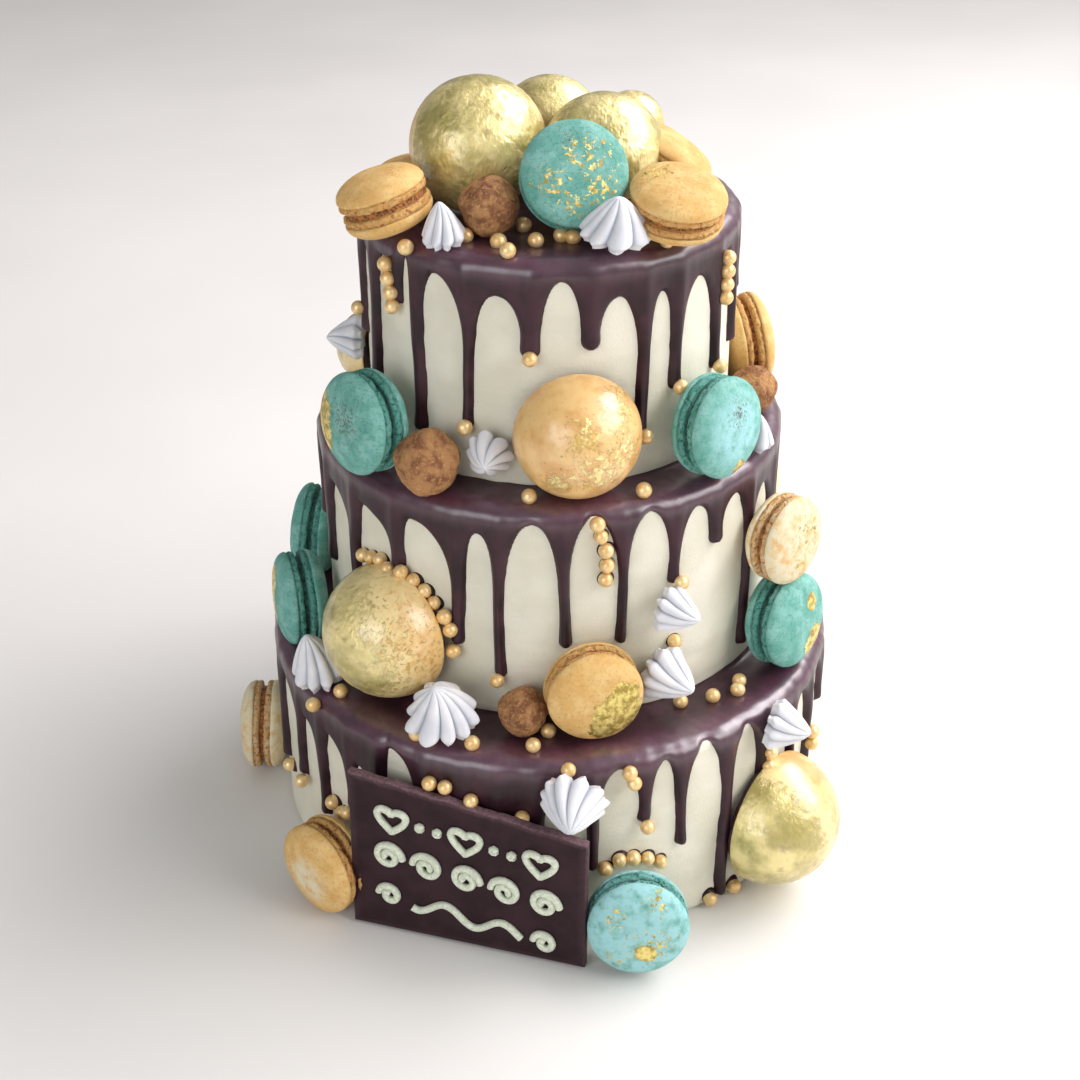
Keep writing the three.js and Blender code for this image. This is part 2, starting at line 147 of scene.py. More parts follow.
class Board:
    def __init__(self, tree):
        self.tree = tree

    def node(self, kind, settings=None, inputs=None, output=0):
        made = self.tree.nodes.new(kind)
        for name, value in (settings or {}).items():
            setattr(made, name, value)
        for name, value in (inputs or {}).items():
            if isinstance(value, Wire):
                self.tree.links.new(value.socket, made.inputs[name])
            else:
                made.inputs[name].default_value = value
        return Wire(self, made.outputs[output])


def colour(red, green, blue):  # as picked on a screen, 0 to 255
    return tuple(((c / 255 + 0.055) / 1.055) ** 2.4 for c in (red, green, blue)) + (1,)


class Finish(Board):
    def __init__(self, name, **fixed):
        self.material = bpy.data.materials.new(name)
        self.material.use_nodes = True
        super().__init__(self.material.node_tree)
        self.shader = self.tree.nodes["Principled BSDF"]
        for socket, value in fixed.items():
            self.shader.inputs[socket.replace("_", " ")].default_value = value
        self.place = self.node("ShaderNodeTexCoord", output="Object")

    def scaled(self, size, stretch=(1, 1, 1)):  # object coordinates counted in a pattern's own size
        scale = tuple(1 / (size * s * mm) for s in stretch)
        return self.node("ShaderNodeMapping", {}, {"Vector": self.place, "Scale": scale})

    def noise(self, size, detail=2, rough=0.5, stretch=(1, 1, 1), kind="FBM"):
        inputs = {"Vector": self.scaled(size, stretch), "Scale": 1, "Detail": detail, "Roughness": rough}
        return self.node("ShaderNodeTexNoise", dict(noise_type=kind), inputs)

    def mark(self, name):
        return self.node("ShaderNodeAttribute", dict(attribute_name=name), {}, "Fac")

    def blend(self, share, first, second):
        return self.node("ShaderNodeMix", dict(data_type="RGBA"), {0: share, 6: first, 7: second}, 2)

    def mottle(self, field, first, second, low=0.3):  # two colours by a noise field, hard or soft by low
        return self.blend(field.ramp(low, 1 - low), colour(*first), colour(*second))

    def show(self, height=None, **links):  # height in millimetres
        if height is not None:
            bump = self.node("ShaderNodeBump", {}, {"Height": height, "Distance": mm, "Strength": 1.0})
            self.tree.links.new(bump.socket, self.shader.inputs["Normal"])
        for socket, value in links.items():
            self.tree.links.new(value.socket, self.shader.inputs[socket.replace("_", " ")])
        return self.material


# Finishes


def creamFinish():
    f = Finish("ivoryCream", Subsurface_Weight=0.12, Subsurface_Radius=(1, 0.7, 0.4), Subsurface_Scale=0.003)
    grain = f.noise(1.1, 3, 0.65)
    scrape = f.noise(5, 2, 0.5, (9, 9, 0.5))
    base = f.mottle(f.noise(28, 3), (216, 212, 192), (229, 225, 208), 0.35)
    base = f.blend(grain.ramp(0.62, 0.8, 0, 0.35), base, colour(198, 190, 164))
    rough = grain.ramp(0.3, 0.7, 0.5, 0.68)
    return f.show(height=grain * 0.18 + scrape * 0.22, Base_Color=base, Roughness=rough)


def ganacheFinish():
    f = Finish("darkGanache", IOR=1.45, Specular_IOR_Level=0.3, Coat_IOR=2.0, Coat_Roughness=0.32)
    cloud = f.noise(14, 3)
    flow = f.noise(3.2, 2, 0.5, (1, 1, 5))
    swirl = f.noise(9, 3, 0.55, (1, 1, 0.5))
    shoulder = f.mark("shoulder")
    base = f.mottle(cloud, (36, 18, 24), (64, 36, 46))
    # Painted sheen: on the shoulder band the base is blended toward purple, where the rim's reflections fall;
    # the coat there is real gloss
    base = f.blend(shoulder * swirl.ramp(0.3, 0.7, 0.4, 0.8), base, colour(96, 50, 74))
    return f.show(
        height=flow * 0.14 + swirl * 0.2 + f.noise(0.9, 2) * 0.015,
        Base_Color=base, Roughness=cloud.ramp(0.3, 0.7, 0.34, 0.44),
        Coat_Weight=shoulder * flow.ramp(0.3, 0.7, 0.75, 1) + 0.06,
    )


def plaqueFinish():
    f = Finish("plaqueChocolate", Specular_IOR_Level=0.16)
    cloud = f.noise(11, 3)
    fine = f.noise(1.3, 3, 0.6)
    base = f.mottle(cloud, (42, 25, 30), (56, 36, 42))
    base = f.blend(f.mark("worn") * fine.ramp(0.35, 0.6, 0.55, 1), base, colour(124, 98, 104))
    rough = cloud.ramp(0.3, 0.7, 0.42, 0.58)
    return f.show(height=cloud * 0.25 + fine * 0.06, Base_Color=base, Roughness=rough)


def pipingFinish():
    f = Finish("paleIcing", Subsurface_Weight=0.1, Subsurface_Radius=(1, 0.8, 0.6), Subsurface_Scale=0.001)
    fine = f.noise(1.4, 2)
    base = f.mottle(fine, (200, 208, 186), (222, 228, 208), 0.35)
    return f.show(height=fine * 0.12, Base_Color=base, Roughness=fine.ramp(0.3, 0.7, 0.4, 0.6))


def gildedFinish():
    f = Finish("gildedShell", IOR=1.5, Coat_IOR=1.8, Coat_Roughness=0.24)
    torn = f.noise(8, 3, 0.6, kind="RIDGED_MULTIFRACTAL")
    crease = f.noise(3.6, 4, 0.5, kind="RIDGED_MULTIFRACTAL")
    scratch = f.noise(1.1, 3, 0.6, (1, 1, 2.5))
    lie = f.mark("leaf") + (f.noise(3.0, 5, 0.66) - 0.5) * 1.2
    leaf = lie.ramp(0.0, 0.3) * (1 - torn.ramp(0.88, 0.96) * 0.5)
    fleck = (f.mark("fleck") * 0.8 + (f.noise(1.9, 5, 0.68) - 0.6) * 4).ramp(0.0, 0.15)
    shell = f.mottle(f.noise(12, 4, 0.6), (218, 162, 88), (240, 198, 128), 0.35)
    shell = f.blend(f.noise(2.2, 4, 0.7).ramp(0.58, 0.75, 0, 0.5), shell, colour(186, 118, 54))
    shell = f.blend(lie.ramp(-0.6, 0.0), shell, colour(240, 216, 152))  # gold dust round the leaf
    foil = f.mottle(f.noise(15, 3), (184, 170, 96), (240, 222, 150), 0.38)
    foil = f.blend(f.noise(4.5, 5, 0.6).ramp(0.52, 0.72, 0, 0.55), foil, colour(150, 132, 74))
    # Painted glints: near-white on the ridges of the leaf's creases
    foil = f.blend(crease.ramp(0.75, 1.0, 0, 0.8), foil, colour(255, 250, 220))
    warm = f.mottle(f.noise(3, 3), (224, 186, 100), (252, 234, 156), 0.4)
    thin = leaf.work("MAXIMUM", fleck)
    return f.show(
        height=thin * (crease * 0.5 + scratch * 0.5 + 0.08) + f.noise(1.2, 2) * 0.02,
        Base_Color=f.blend(leaf, f.blend(fleck, shell, warm), foil), Metallic=thin * 0.4,
        Roughness=leaf.ramp(0, 1, 0.38, 0.34) + scratch * 0.14,
        Coat_Weight=f.noise(9, 2).ramp(0.3, 0.7, 0.6, 1),
    )


def truffleFinish():
    f = Finish("cocoaTruffle")
    crumb = f.noise(1.3, 4, 0.7)
    patch = f.noise(6, 3, 0.6)
    base = f.mottle(patch, (126, 78, 48), (176, 128, 80), 0.38)
    base = f.blend(crumb.ramp(0.5, 0.68, 0, 0.65), base, colour(208, 164, 108))
    rough = crumb.ramp(0.3, 0.7, 0.7, 0.95)
    return f.show(height=crumb * 0.8 + patch * 0.6, Base_Color=base, Roughness=rough)


def macaronFinish(name, pale, deep, **tones):
    f = Finish(name, IOR=1.45)
    tones = {part: colour(*tone) for part, tone in tones.items()}
    cloud = f.noise(7, 3)
    grain = f.noise(1.5, 5, 0.8)
    crumb = f.noise(1.7, 4, 0.75)
    foot = f.mark("foot")
    base = f.mottle(cloud, deep, pale)
    base = f.blend(grain.ramp(0.5, 0.62, 0, 0.5), base, tones["speck"])
    base = f.blend(f.mark("scuff") * f.noise(4.5, 4, 0.55).ramp(0.25, 0.6), base, tones["worn"])
    base = f.blend(foot * crumb.ramp(0.62, 0.4, 0.25, 1), base, tones["foot"])
    # Painted shade: the foot's pits, where the crumb lies lowest, take a dark tone
    base = f.blend(foot * crumb.ramp(0.46, 0.36), base, tones["pit"])
    powder = (f.mark("dust") * 0.7 + (f.noise(1.1, 4, 0.75) - 0.62) * 4).ramp(0.0, 0.5) * 0.85
    base = f.blend(powder, base, f.mottle(f.noise(2.5, 2), (88, 66, 62), (120, 96, 86), 0.4))
    sheet = (f.mark("gold") * 1.6 + (f.noise(2.4, 5, 0.7) - 0.5) * 2.2).ramp(0.0, 0.08)
    fleck = (f.mark("fleck") * 0.8 + (f.noise(2.0, 4, 0.66) - 0.64) * 5).ramp(0.0, 0.2)
    flake = sheet.work("MAXIMUM", fleck)
    foil = f.mottle(f.noise(3, 5, 0.6), (176, 150, 74), (250, 230, 142), 0.38)
    crinkle = f.noise(1.5, 2, kind="RIDGED_MULTIFRACTAL")
    return f.show(
        height=grain * 0.5 + cloud * 0.4 + foot * crumb * 1.6 + flake * (crinkle * 0.3 + 0.1),
        Base_Color=f.blend(flake, base, foil), Metallic=flake * 0.85, Roughness=flake.ramp(0, 1, 0.72, 0.34),
    )


def fillingFinish(name, dark, light):
    f = Finish(name)
    fine = f.noise(1.3, 4, 0.7)
    rough = fine.ramp(0.3, 0.7, 0.5, 0.75)
    return f.show(height=fine * 0.8, Base_Color=f.mottle(fine, dark, light, 0.4), Roughness=rough)


def meringueFinish():
    soft = dict(Subsurface_Weight=0.12, Subsurface_Radius=(1, 0.9, 0.8), Subsurface_Scale=0.0015)
    f = Finish("whiteMeringue", **soft)
    fine = f.noise(1.5, 3)
    base = f.mottle(f.noise(9, 2), (216, 218, 224), (230, 230, 233))
    # Painted shade: grey-blue in the grooves between the piped ridges
    base = f.blend(f.mark("grooveShade").ramp(0.2, 0.9, 0, 0.75), base, colour(166, 172, 188))
    return f.show(height=fine * 0.1, Base_Color=base, Roughness=fine.ramp(0.3, 0.7, 0.45, 0.62))


def pearlFinish():
    f = Finish("sugarPearl", Coat_Weight=0.4, Coat_Roughness=0.22)
    patch = f.noise(5, 2)
    fine = f.noise(0.7, 2)
    return f.show(
        height=fine * 0.04, Base_Color=f.mottle(patch, (230, 188, 120), (248, 216, 158), 0.35),
        Metallic=patch.ramp(0.3, 0.7, 0.3, 0.5), Roughness=fine.ramp(0.3, 0.7, 0.34, 0.44),
    )


cream, ganache, plaqueChocolate, icing = creamFinish(), ganacheFinish(), plaqueFinish(), pipingFinish()
gilded, cocoa, meringue, pearlGold = gildedFinish(), truffleFinish(), meringueFinish(), pearlFinish()
shells = {
    "teal": macaronFinish(
        "tealShell", pale=(138, 194, 184), deep=(98, 166, 152), foot=(84, 160, 145), pit=(34, 98, 86),
        speck=(62, 128, 112), worn=(160, 212, 214),
    ),
    "peach": macaronFinish(
        "peachShell", pale=(234, 198, 132), deep=(222, 176, 104), foot=(222, 166, 96), pit=(160, 98, 50),
        speck=(194, 142, 76), worn=(230, 220, 188),
    ),
}
fillings = {
    "teal": fillingFinish("tealFilling", (22, 58, 52), (58, 112, 100)),
    "peach": fillingFinish("peachFilling", (92, 54, 28), (200, 130, 62)),
}
print("cake: finishes made")

# Meshes


def linked(name, data):
    made = bpy.data.objects.new(name, data)
    bpy.context.scene.collection.objects.link(made)
    return made


def meshOf(name, points, faces):  # faces: arrays of triangles and of quads
    mesh = bpy.data.meshes.new(name)
    counts = np.concatenate([np.full(len(f), f.shape[1]) for f in faces])
    mesh.vertices.add(len(points))
    mesh.vertices.foreach_set("co", (np.asarray(points) * mm).ravel())
    mesh.loops.add(int(counts.sum()))
    mesh.loops.foreach_set("vertex_index", np.concatenate([f.ravel() for f in faces]))
    mesh.polygons.add(len(counts))
    mesh.polygons.foreach_set("loop_start", np.cumsum(counts) - counts)
    mesh.update(calc_edges=True)
    mesh.validate()
    mesh.shade_smooth()
    return mesh


def addPiece(name, mesh, finishes, nodes=(), marks=None):
    for mark, values in (marks or {}).items():
        mesh.attributes.new(mark, "FLOAT", "POINT").data.foreach_set("value", np.asarray(values, float))
    for finish in finishes:
        mesh.materials.append(finish)
    piece = linked(name, mesh)
    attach(piece, "root")
    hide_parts(*nodes)


def gridQuads(rows, columns):  # between rows of points that each run once round
    i, j = np.meshgrid(np.arange(rows - 1), np.arange(columns), indexing="ij")
    k, low, high = (j + 1) % columns, i * columns, (i + 1) * columns
    return np.stack([low + j, high + j, high + k, low + k], -1).reshape(-1, 4)


def closeRings(rings):  # rows of points, the first round the tip, the last round the foot
    rows, cols = rings.shape[:2]
    points = np.concatenate([rings.reshape(-1, 3), rings[:1].mean(1), rings[-1:].mean(1)])
    j, k, low = np.arange(cols), (np.arange(cols) + 1) % cols, (rows - 1) * cols
    tip = np.stack([np.full(cols, rows * cols), j, k], -1)
    foot = np.stack([np.full(cols, rows * cols + 1), low + k, low + j], -1)
    return points, [gridQuads(rows, cols), np.concatenate([tip, foot])]


def secondFinish(mesh, rows, columns, last):  # rows of closeRings' quads that take the second finish
    ends = np.repeat([0, last], columns)
    mesh.polygons.foreach_set("material_index", np.append(np.repeat(rows.astype(int), columns), ends))


# Cream tiers: smoothed with a scraper, the top edge a little rounded

creamTier = dict(columns=360, rowHeight=2.4, edge=2.5, waver=0.28, dimple=0.07)


def tierRings(tier):
    r, low, top, edge = tier["radius"], tier["base"], tier["top"], creamTier["edge"]
    turn = np.radians(np.linspace(0, 90, 6))
    wall = np.linspace(top - edge, low + 0.6, int((top - low) / creamTier["rowHeight"]))
    shoulder, foot = r - edge + edge * np.sin(turn), [r - 0.6, r * 0.5]
    reach = np.concatenate([[r * 0.3, r * 0.8], shoulder, np.full(len(wall), r), foot])
    z = np.concatenate([[top, top], top - edge + edge * np.cos(turn), wall, [low, low]])
    bearings = np.linspace(0, 360, creamTier["columns"], endpoint=False)
    plain = spot(bearings[None], reach[:, None], z[:, None])
    outer = (reach > r * 0.9)[:, None] & (z > low + 0.1)[:, None]
    waver = softNoise(plain, (34, 34, 7), 2, r) * creamTier["waver"]
    waver = waver + softNoise(plain, 5, 2, r) * creamTier["dimple"]
    reach = reach[:, None] + np.where(outer, waver, 0)
    return spot(bearings[None], reach, z[:, None], tier["shift"])


for name, tier in tiers.items():
    mesh = meshOf("tier", *closeRings(tierRings(tier)))
    addPiece(f"cream_tier_{name}", mesh, [cream], [f"tier_{name}"])
print("cake: tiers coated")

# Chocolate: a skin whose thickness follows from how far a point lies inside the pool and its drips.
# Drips: [bearing, length down from the tier's top, width, depth of the arch to its right]; on the left
# flank the arches' crowns swing to one side.

drips = {
    "top": dict(
        seen=[
            [-82, 54, 7, 9], [-65, 65, 7, 9], [-50, 26, 5, 5], [-42, 77, 6.5, 8], [-24.5, 70, 5, 13],
            [-5.5, 38, 7.5, 6.5], [12, 35, 7.5, 14], [28, 75, 6, 15], [40, 58, 6, 14], [59, 58, 6, 10],
            [74, 54, 5.5, 8], [91, 40, 6, 7], [107, 46, 6, 9],
        ],
        step=18, swing=-0.3,
    ),
    "middle": dict(
        seen=[
            [-86, 50, 7, 8], [-70, 58, 8, 16], [-54, 60, 7, 14.6], [-38, 36, 7, 11], [-22, 64, 6.5, 10.6],
            [-11.7, 76, 5, 4.6], [3.4, 61, 5, 2.2], [16.9, 61, 4.6, 3.2], [30.3, 38.5, 5.5, 6.6],
            [43, 27.5, 7.5, 9], [56, 87, 6, 15], [71, 48, 6, 8],
        ],
        step=17, swing=-0.65,
    ),
    "bottom": dict(
        seen=[
            [-88, 44, 7, 8], [-74, 61, 7.5, 9.2], [-60.3, 51, 6, 17], [-51.3, 60, 6.5, 14.8],
            [-42.3, 45, 5.5, 21], [-35, 44, 7.5, 4.5], [-24, 50, 9, 34], [-17, 44, 9, 36], [-10, 52, 9, 36],
            [-3, 46, 9, 10], [8, 53, 5, 3.8], [18.2, 32, 5.5, 3.6], [26, 49, 5.5, 1.5], [36.5, 86, 6.5, 2.5],
            [46, 74, 6, 6], [57, 40, 6, 8], [66, 52, 6, 8], [78, 36, 6, 8],
        ],
        step=15, swing=-0.6,
    ),
}
skin = dict(
    column=0.78, row=1.05, ledgeRow=2.2, turns=12,  # the mesh's steps, and the rounded edge's rows
    shoulder=8.4, bend=1.3,  # the rounded edge's length, and how late it turns down
    pool=2.6, web=1.7, drip=2.9,  # thicknesses on the ledge, between drips and on them
    bead=0.3, beadLength=4, rim=0.6,  # how much fuller a drip's end and the rim are
    tallArch=28, lip=2.6, ridgeStart=9,  # the arch's round part, the soft edge, how far in ridges start
    wander=0.5, flow=0.3, swirl=0.35, creep=0.9,  # how far drips stray, waves, and the rise up a wall
    buried=0.8, back=1.2, cut=0.45,  # how deep the rim and the inner side lie, and where faces end
)


def allDrips(style):
    seen, step = style["seen"], style["step"]
    last, end = seen[-1][0], seen[0][0] + 360
    count = round((end - last) / step) - 1
    stride = (end - last) / (count + 1)
    hidden = []
    for i in range(1, count + 1):
        length = 47 + 17 * sin(i * 1.9) + 7 * cos(i * 4.1)
        at = last + stride * (i + 0.18 * sin(i * 2.3))
        hidden.append([at, length, 6 + sin(i * 3.1), 9 + 5 * sin(i * 2.7)])
    return np.array(seen + hidden, float)


def thickness(tier, style, bearing, drop, run):  # drop: below the top; run: past the rim along the skin
    r, rows = tier["radius"], allDrips(style)
    turn = (bearing - rows[0, 0]) % 360
    left = np.searchsorted(rows[:, 0] - rows[0, 0], turn, "right") - 1
    sides, ridges = [], 0
    for n, sign in ((left, 1), ((left + 1) % len(rows), -1)):  # the drips to its left and to its right
        at, length, width = (rows[n, k] for k in range(3))
        away = (sign * (bearing - at) + 180) % 360 - 180
        along = np.radians(away) * r + sign * skin["wander"] * np.sin(drop / 13 + n * 2.1)
        end = length - width * 0.54
        bulb = np.exp(-(((drop - end) / skin["beadLength"]) ** 2))
        half = width / 2 * (0.95 + 0.05 * np.sin(drop / 8 + n) + 0.1 * bulb)
        sides.append((along, half, end, length, bulb))
        ridges = ridges + np.exp(-((along / (half * 0.8 + 0.6)) ** 2))
    arch = rows[left, 3]
    (alongA, halfA, *_), (alongB, halfB, *_) = sides
    halfGap = np.maximum(alongA + alongB - halfA - halfB, 1.5) / 2
    share = smoothStep((alongA - halfA) / halfGap, 0.5, 1.5)
    heights = [
        np.clip(np.minimum(0.75 * (length - arch), end - arch - 0.3), 2, skin["tallArch"])
        for _, _, end, length, _ in sides
    ]
    height = heights[0] * (1 - share) + heights[1] * share
    swing = style["swing"] * smoothStep(-bearing, 12, 35) * smoothStep(bearing, -120, -95)
    x = alongA - halfA - halfGap * (1 + swing)
    span = halfGap * (1 - swing * np.sign(x))
    y = np.clip(arch + height - drop, 0, None)
    k = np.hypot(x / span, y / height)
    inside = k * (k - 1) / (np.hypot(x / span**2, y / height**2) + 1e-6)
    nearer = alongA < alongB
    along, half, end, _, bulb = (np.where(nearer, a, b) for a, b in zip(*sides))
    tip = half - np.hypot(along, np.clip(drop - end, 0, None))
    inside = np.where(drop > end, np.minimum(inside, tip), inside)
    crest = np.minimum(ridges, 1) * (0.15 + 0.85 * smoothStep(run, 0, 11))
    depth = skin["web"] + (skin["drip"] - skin["web"]) * crest + skin["bead"] * bulb * crest
    depth = depth + skin["rim"] * np.exp(-(((run - 1) / 4.5) ** 2))
    fade = smoothStep(run, -skin["ridgeStart"], 1)
    depth = skin["pool"] * (1 - fade) + depth * fade
    lip = np.clip(np.minimum(halfA, halfB) * 0.95, 0, skin["lip"]) + np.clip(arch - drop, 0, 3) * 0.1
    x = inside / lip
    return depth * np.where(x > 0, 1 - (1 - np.clip(x, 0, 1)) ** 2.4, 2.4 * x)


def skinMesh(name, above):
    tier, style = tiers[name], drips[name]
    r, length, top = tier["radius"], skin["shoulder"], tier["top"]
    part = np.linspace(0, 1, skin["turns"])  # along the rounded edge
    turn = pi / 2 * part ** skin["bend"]
    middle, step = (turn[1:] + turn[:-1]) / 2, length * part[1]
    inward = np.append(0, np.cumsum(np.cos(middle))) * step
    fallen = np.append(0, np.cumsum(np.sin(middle))) * step
    wide, deep = inward[-1], fallen[-1]
    columns = int(2 * pi * r / skin["column"])
    bearing = np.linspace(-180, 180, columns, endpoint=False)[None]
    if above:  # the ledge runs from the upper tier's wall, whose axis stands elsewhere
        off = above["shift"] - tier["shift"]
        a = np.radians(bearing)
        start = -off * np.cos(a) + np.sqrt((above["radius"] + 0.2) ** 2 - (off * np.sin(a)) ** 2)
    else:
        start = np.full_like(bearing, 2.0)
    rows = int((r - wide - start.min()) / skin["ledgeRow"])
    share = np.linspace(0, 1, rows, endpoint=False)[:, None]
    flat = start + (r - wide - start) * share
    deepest = allDrips(style)[:, 1].max() + 3
    wall = np.arange(deep + skin["row"], deepest, skin["row"])[:, None] + 0 * bearing
    part, turn, inward, fallen = (row[:, None] + 0 * bearing for row in (part, turn, inward, fallen))
    reach = np.concatenate([flat, r - wide + inward, r + 0 * wall])
    drop = np.concatenate([0 * flat, fallen, wall])
    lean = np.concatenate([0 * flat, turn, pi / 2 + 0 * wall])
    run = np.concatenate([flat - r + wide, length * part, wall - deep + length]) - length / 2
    bearing = bearing + 0 * reach
    base = spot(bearing, reach, top - drop)
    thick = thickness(tier, style, bearing, run - length / 2 + deep, run)
    flow = softNoise(spot(bearing, reach, -drop), (9, 9, 18), 2, r)
    swirl = softNoise(base, 14, 2, r + 1) * smoothStep(run, 4, -6)
    thick = thick + (skin["flow"] * flow + skin["swirl"] * swirl) * smoothStep(thick, 0.6, 1.8)
    if above:
        thick = thick + skin["creep"] * np.exp(-(reach - start) / 1.3) * (lean == 0)
    thick = np.clip(thick, -skin["buried"], None)
    out = spot(bearing, np.sin(lean), np.cos(lean))
    front, back = base + out * thick[..., None], base - out * skin["back"]
    quads = gridQuads(len(reach), columns)
    quads = quads[(thick.ravel()[quads] > -skin["cut"]).any(1)]
    points = np.concatenate([front.reshape(-1, 3), back.reshape(-1, 3)])
    count = thick.size
    if not above:  # the crown's middle closes on one point
        centre = [[0, 0, top + skin["pool"]], [0, 0, top - skin["back"]]]
        points = np.concatenate([points, centre])
    ahead = np.concatenate([quads[:, [n, (n + 1) % 4]] for n in range(4)])
    codes, twins = ahead[:, 0] * count + ahead[:, 1], ahead[:, 1] * count + ahead[:, 0]
    rim = ahead[~np.isin(twins, codes)]
    hub = (rim < columns).all(1)
    faces = [np.concatenate([quads, quads[:, ::-1] + count])]
    if not above:
        a, b = rim[hub].T
        hubs = np.full(len(a), 2 * count)
        outer, inner = np.stack([hubs, b, a], -1), np.stack([hubs + 1, a + count, b + count], -1)
        faces.append(np.concatenate([outer, inner]))
        rim = rim[~hub]
    a, b = rim.T
    faces[0] = np.concatenate([faces[0], np.stack([b, a, a + count, b + count], -1)])
    used = np.unique(np.concatenate([f.ravel() for f in faces]))
    fresh = np.zeros(len(points), int)
    fresh[used] = np.arange(len(used))
    # The shoulder mark peaks just past the rim and lies low over the ledge; it sets the coat's gloss and the
    # purple painted sheen
    sheen = np.exp(-(((run + 2) / 6) ** 2)) + 0.25 * smoothStep(run, 0, -9)
    marks = dict(shoulder=np.concatenate([sheen.ravel(), sheen.ravel(), [0, 0]])[used])
    return meshOf("skin", points[used] + [0, tier["shift"], 0], [fresh[f] for f in faces]), marks


for name, above in dict(bottom=tiers["middle"], middle=tiers["top"], top=None).items():
    mesh, marks = skinMesh(name, above)
    addPiece(f"chocolate_drip_{name}", mesh, [ganache], [f"ganache_{name}"], marks)
    print("cake: chocolate poured,", name, len(mesh.polygons), "faces")

# Geometry Nodes: a tree with named inputs, and its result as a plain mesh


class Recipe(Board):
    def __init__(self, name, **inputs):  # inputs: name and kind of socket
        super().__init__(bpy.data.node_groups.new(name, "GeometryNodeTree"))
        self.ids = {}
        for label, kind in {"Geometry": "Geometry", **inputs}.items():
            self.ids[label] = self.socket(label, "INPUT", kind).identifier
        self.socket("Geometry", "OUTPUT", "Geometry")
        self.given = self.tree.nodes.new("NodeGroupInput")

    def socket(self, label, side, kind):
        return self.tree.interface.new_socket(label, in_out=side, socket_type="NodeSocket" + kind)

    def input(self, label):
        return Wire(self, self.given.outputs[label])

    def end(self, geometry):  # every tree ends with real, shaded faces in their finish
        real = self.node("GeometryNodeRealizeInstances", {}, {"Geometry": geometry})
        smooth = self.node("GeometryNodeSetShadeSmooth", {}, {"Geometry": real})
        inputs = {"Geometry": smooth, "Material": self.input("Finish")}
        done = self.node("GeometryNodeSetMaterial", {}, inputs)
        out = self.tree.nodes.new("NodeGroupOutput")
        self.tree.links.new(done.socket, out.inputs[0])

    def meshFrom(self, source, **values):
        carrier = linked("carrier", source)
        modifier = carrier.modifiers.new("recipe", "NODES")
        modifier.node_group = self.tree
        for label, value in values.items():
            modifier[self.ids[label]] = value
        evaluated = carrier.evaluated_get(bpy.context.evaluated_depsgraph_get())
        mesh = bpy.data.meshes.new_from_object(evaluated)
        carrier.modifiers.clear()
        bpy.data.objects.remove(carrier)
        return mesh


# Sugar pearls: ledge [bearing, reach], wall [bearing, drop], and on the bare cream [bearing, drop]

pearl = dict(radius=3.1, onLedge=0.72, onDrip=0.35, onCream=0.7, uneven=0.05, sides=20, rings=13, seed=5)
dab = dict(radius=3.4, uneven=0.15, deep=0.9, aside=0.3, below=0.7, lowest=4.2)
pearls = {
    "top": dict(
        ledge=[
            [-29.8, 64.3], [-17.3, 65], [-12.3, 73.4], [-13, 45], [-5, 61], [4.5, 55.5], [8.7, 58],
            [36, 75], [130, 60], [150, 66], [160, 60], [205, 68], [214, 64], [250, 55],
        ],
        wall=[
            [-43, -1], [-52.6, 9.5], [-51.6, 15], [-50.6, 20.5], [-50, 26], [61, 10.5], [60.8, 16],
            [60.5, 21.5], [60.3, 27], [-82, 43], [-5.5, 36], [-24.5, 68], [28, 73], [40, 56], [59, 56],
        ],
        cream=[],
    ),
    "middle": dict(
        ledge=[[-5, 92], [23, 94], [150, 96], [196, 95], [204, 92]],
        wall=[
            [10.3, 2.8], [-40, 36], [-35.8, 34.6], [-24.4, 49.4], [-23, 55], [-22.4, 65], [-12, 75.6],
            [31, 36.6],
        ],
        cream=[
            [11.4, 9.5], [12.6, 16], [12.9, 22.7], [12.6, 29.1], [30.5, 65.5],
            [-49.9, 37.5], [-46.6, 36], [-43.3, 34.8], [-33.1, 38], [-30.1, 41.2], [-27.7, 45.6],
        ],
    ),
    "bottom": dict(
        ledge=[
            [-48.5, 116.6], [-26.7, 119.5], [-23.8, 120], [-15.3, 117.5], [-3.3, 114.9], [-0.3, 105.2],
            [40.1, 105.5], [49, 106], [46, 109.5], [32.7, 100.4], [140, 118], [146, 114], [186, 116],
            [240, 116],
        ],
        wall=[
            [-51, 0.5], [-22.4, 12.3], [-19.3, 12.4], [-14.4, 16.7], [-5, 22.5], [3.3, -1.5], [14.5, 3.1],
            [15.4, 8.4], [18.2, 31.8], [47, 20], [46.6, 26.5], [66, 35], [66, 41.2], [-58.8, 51], [-42.3, 46],
        ],
        cream=[
            [10.5, 51.6], [13.2, 48], [15.9, 48.2], [18.8, 50], [21.4, 53.4], [33.2, 83.6], [39.4, 83.6],
            [-69.5, 58.8], [-48, 48.6], [-45.1, 50.4],
        ],
    ),
}


def pearlRecipe():
    r = Recipe("pearls", Radius="Float", Uneven="Float", Finish="Material")
    inputs = {"Segments": pearl["sides"], "Rings": pearl["rings"], "Radius": 1}
    bead = r.node("GeometryNodeMeshUVSphere", {}, inputs)
    inputs = {2: 1 - r.input("Uneven"), 3: 1 + r.input("Uneven"), "Seed": pearl["seed"]}
    size = r.node("FunctionNodeRandomValue", dict(data_type="FLOAT"), inputs, 1)
    scale = r.node("ShaderNodeCombineXYZ", {}, dict.fromkeys("XYZ", size * r.input("Radius")))
    inputs = {"Points": r.input("Geometry"), "Instance": bead, "Scale": scale}
    r.end(r.node("GeometryNodeInstanceOnPoints", {}, inputs))
    return r


beads = pearlRecipe()


def addBeads(name, places, look, finish, nodes):
    points = bpy.data.meshes.new("places")
    points.from_pydata([tuple(place * mm) for place in places], [], [])
    mesh = beads.meshFrom(points, Radius=look["radius"] * mm, Uneven=look["uneven"], Finish=finish)
    addPiece(name, mesh, [], nodes)


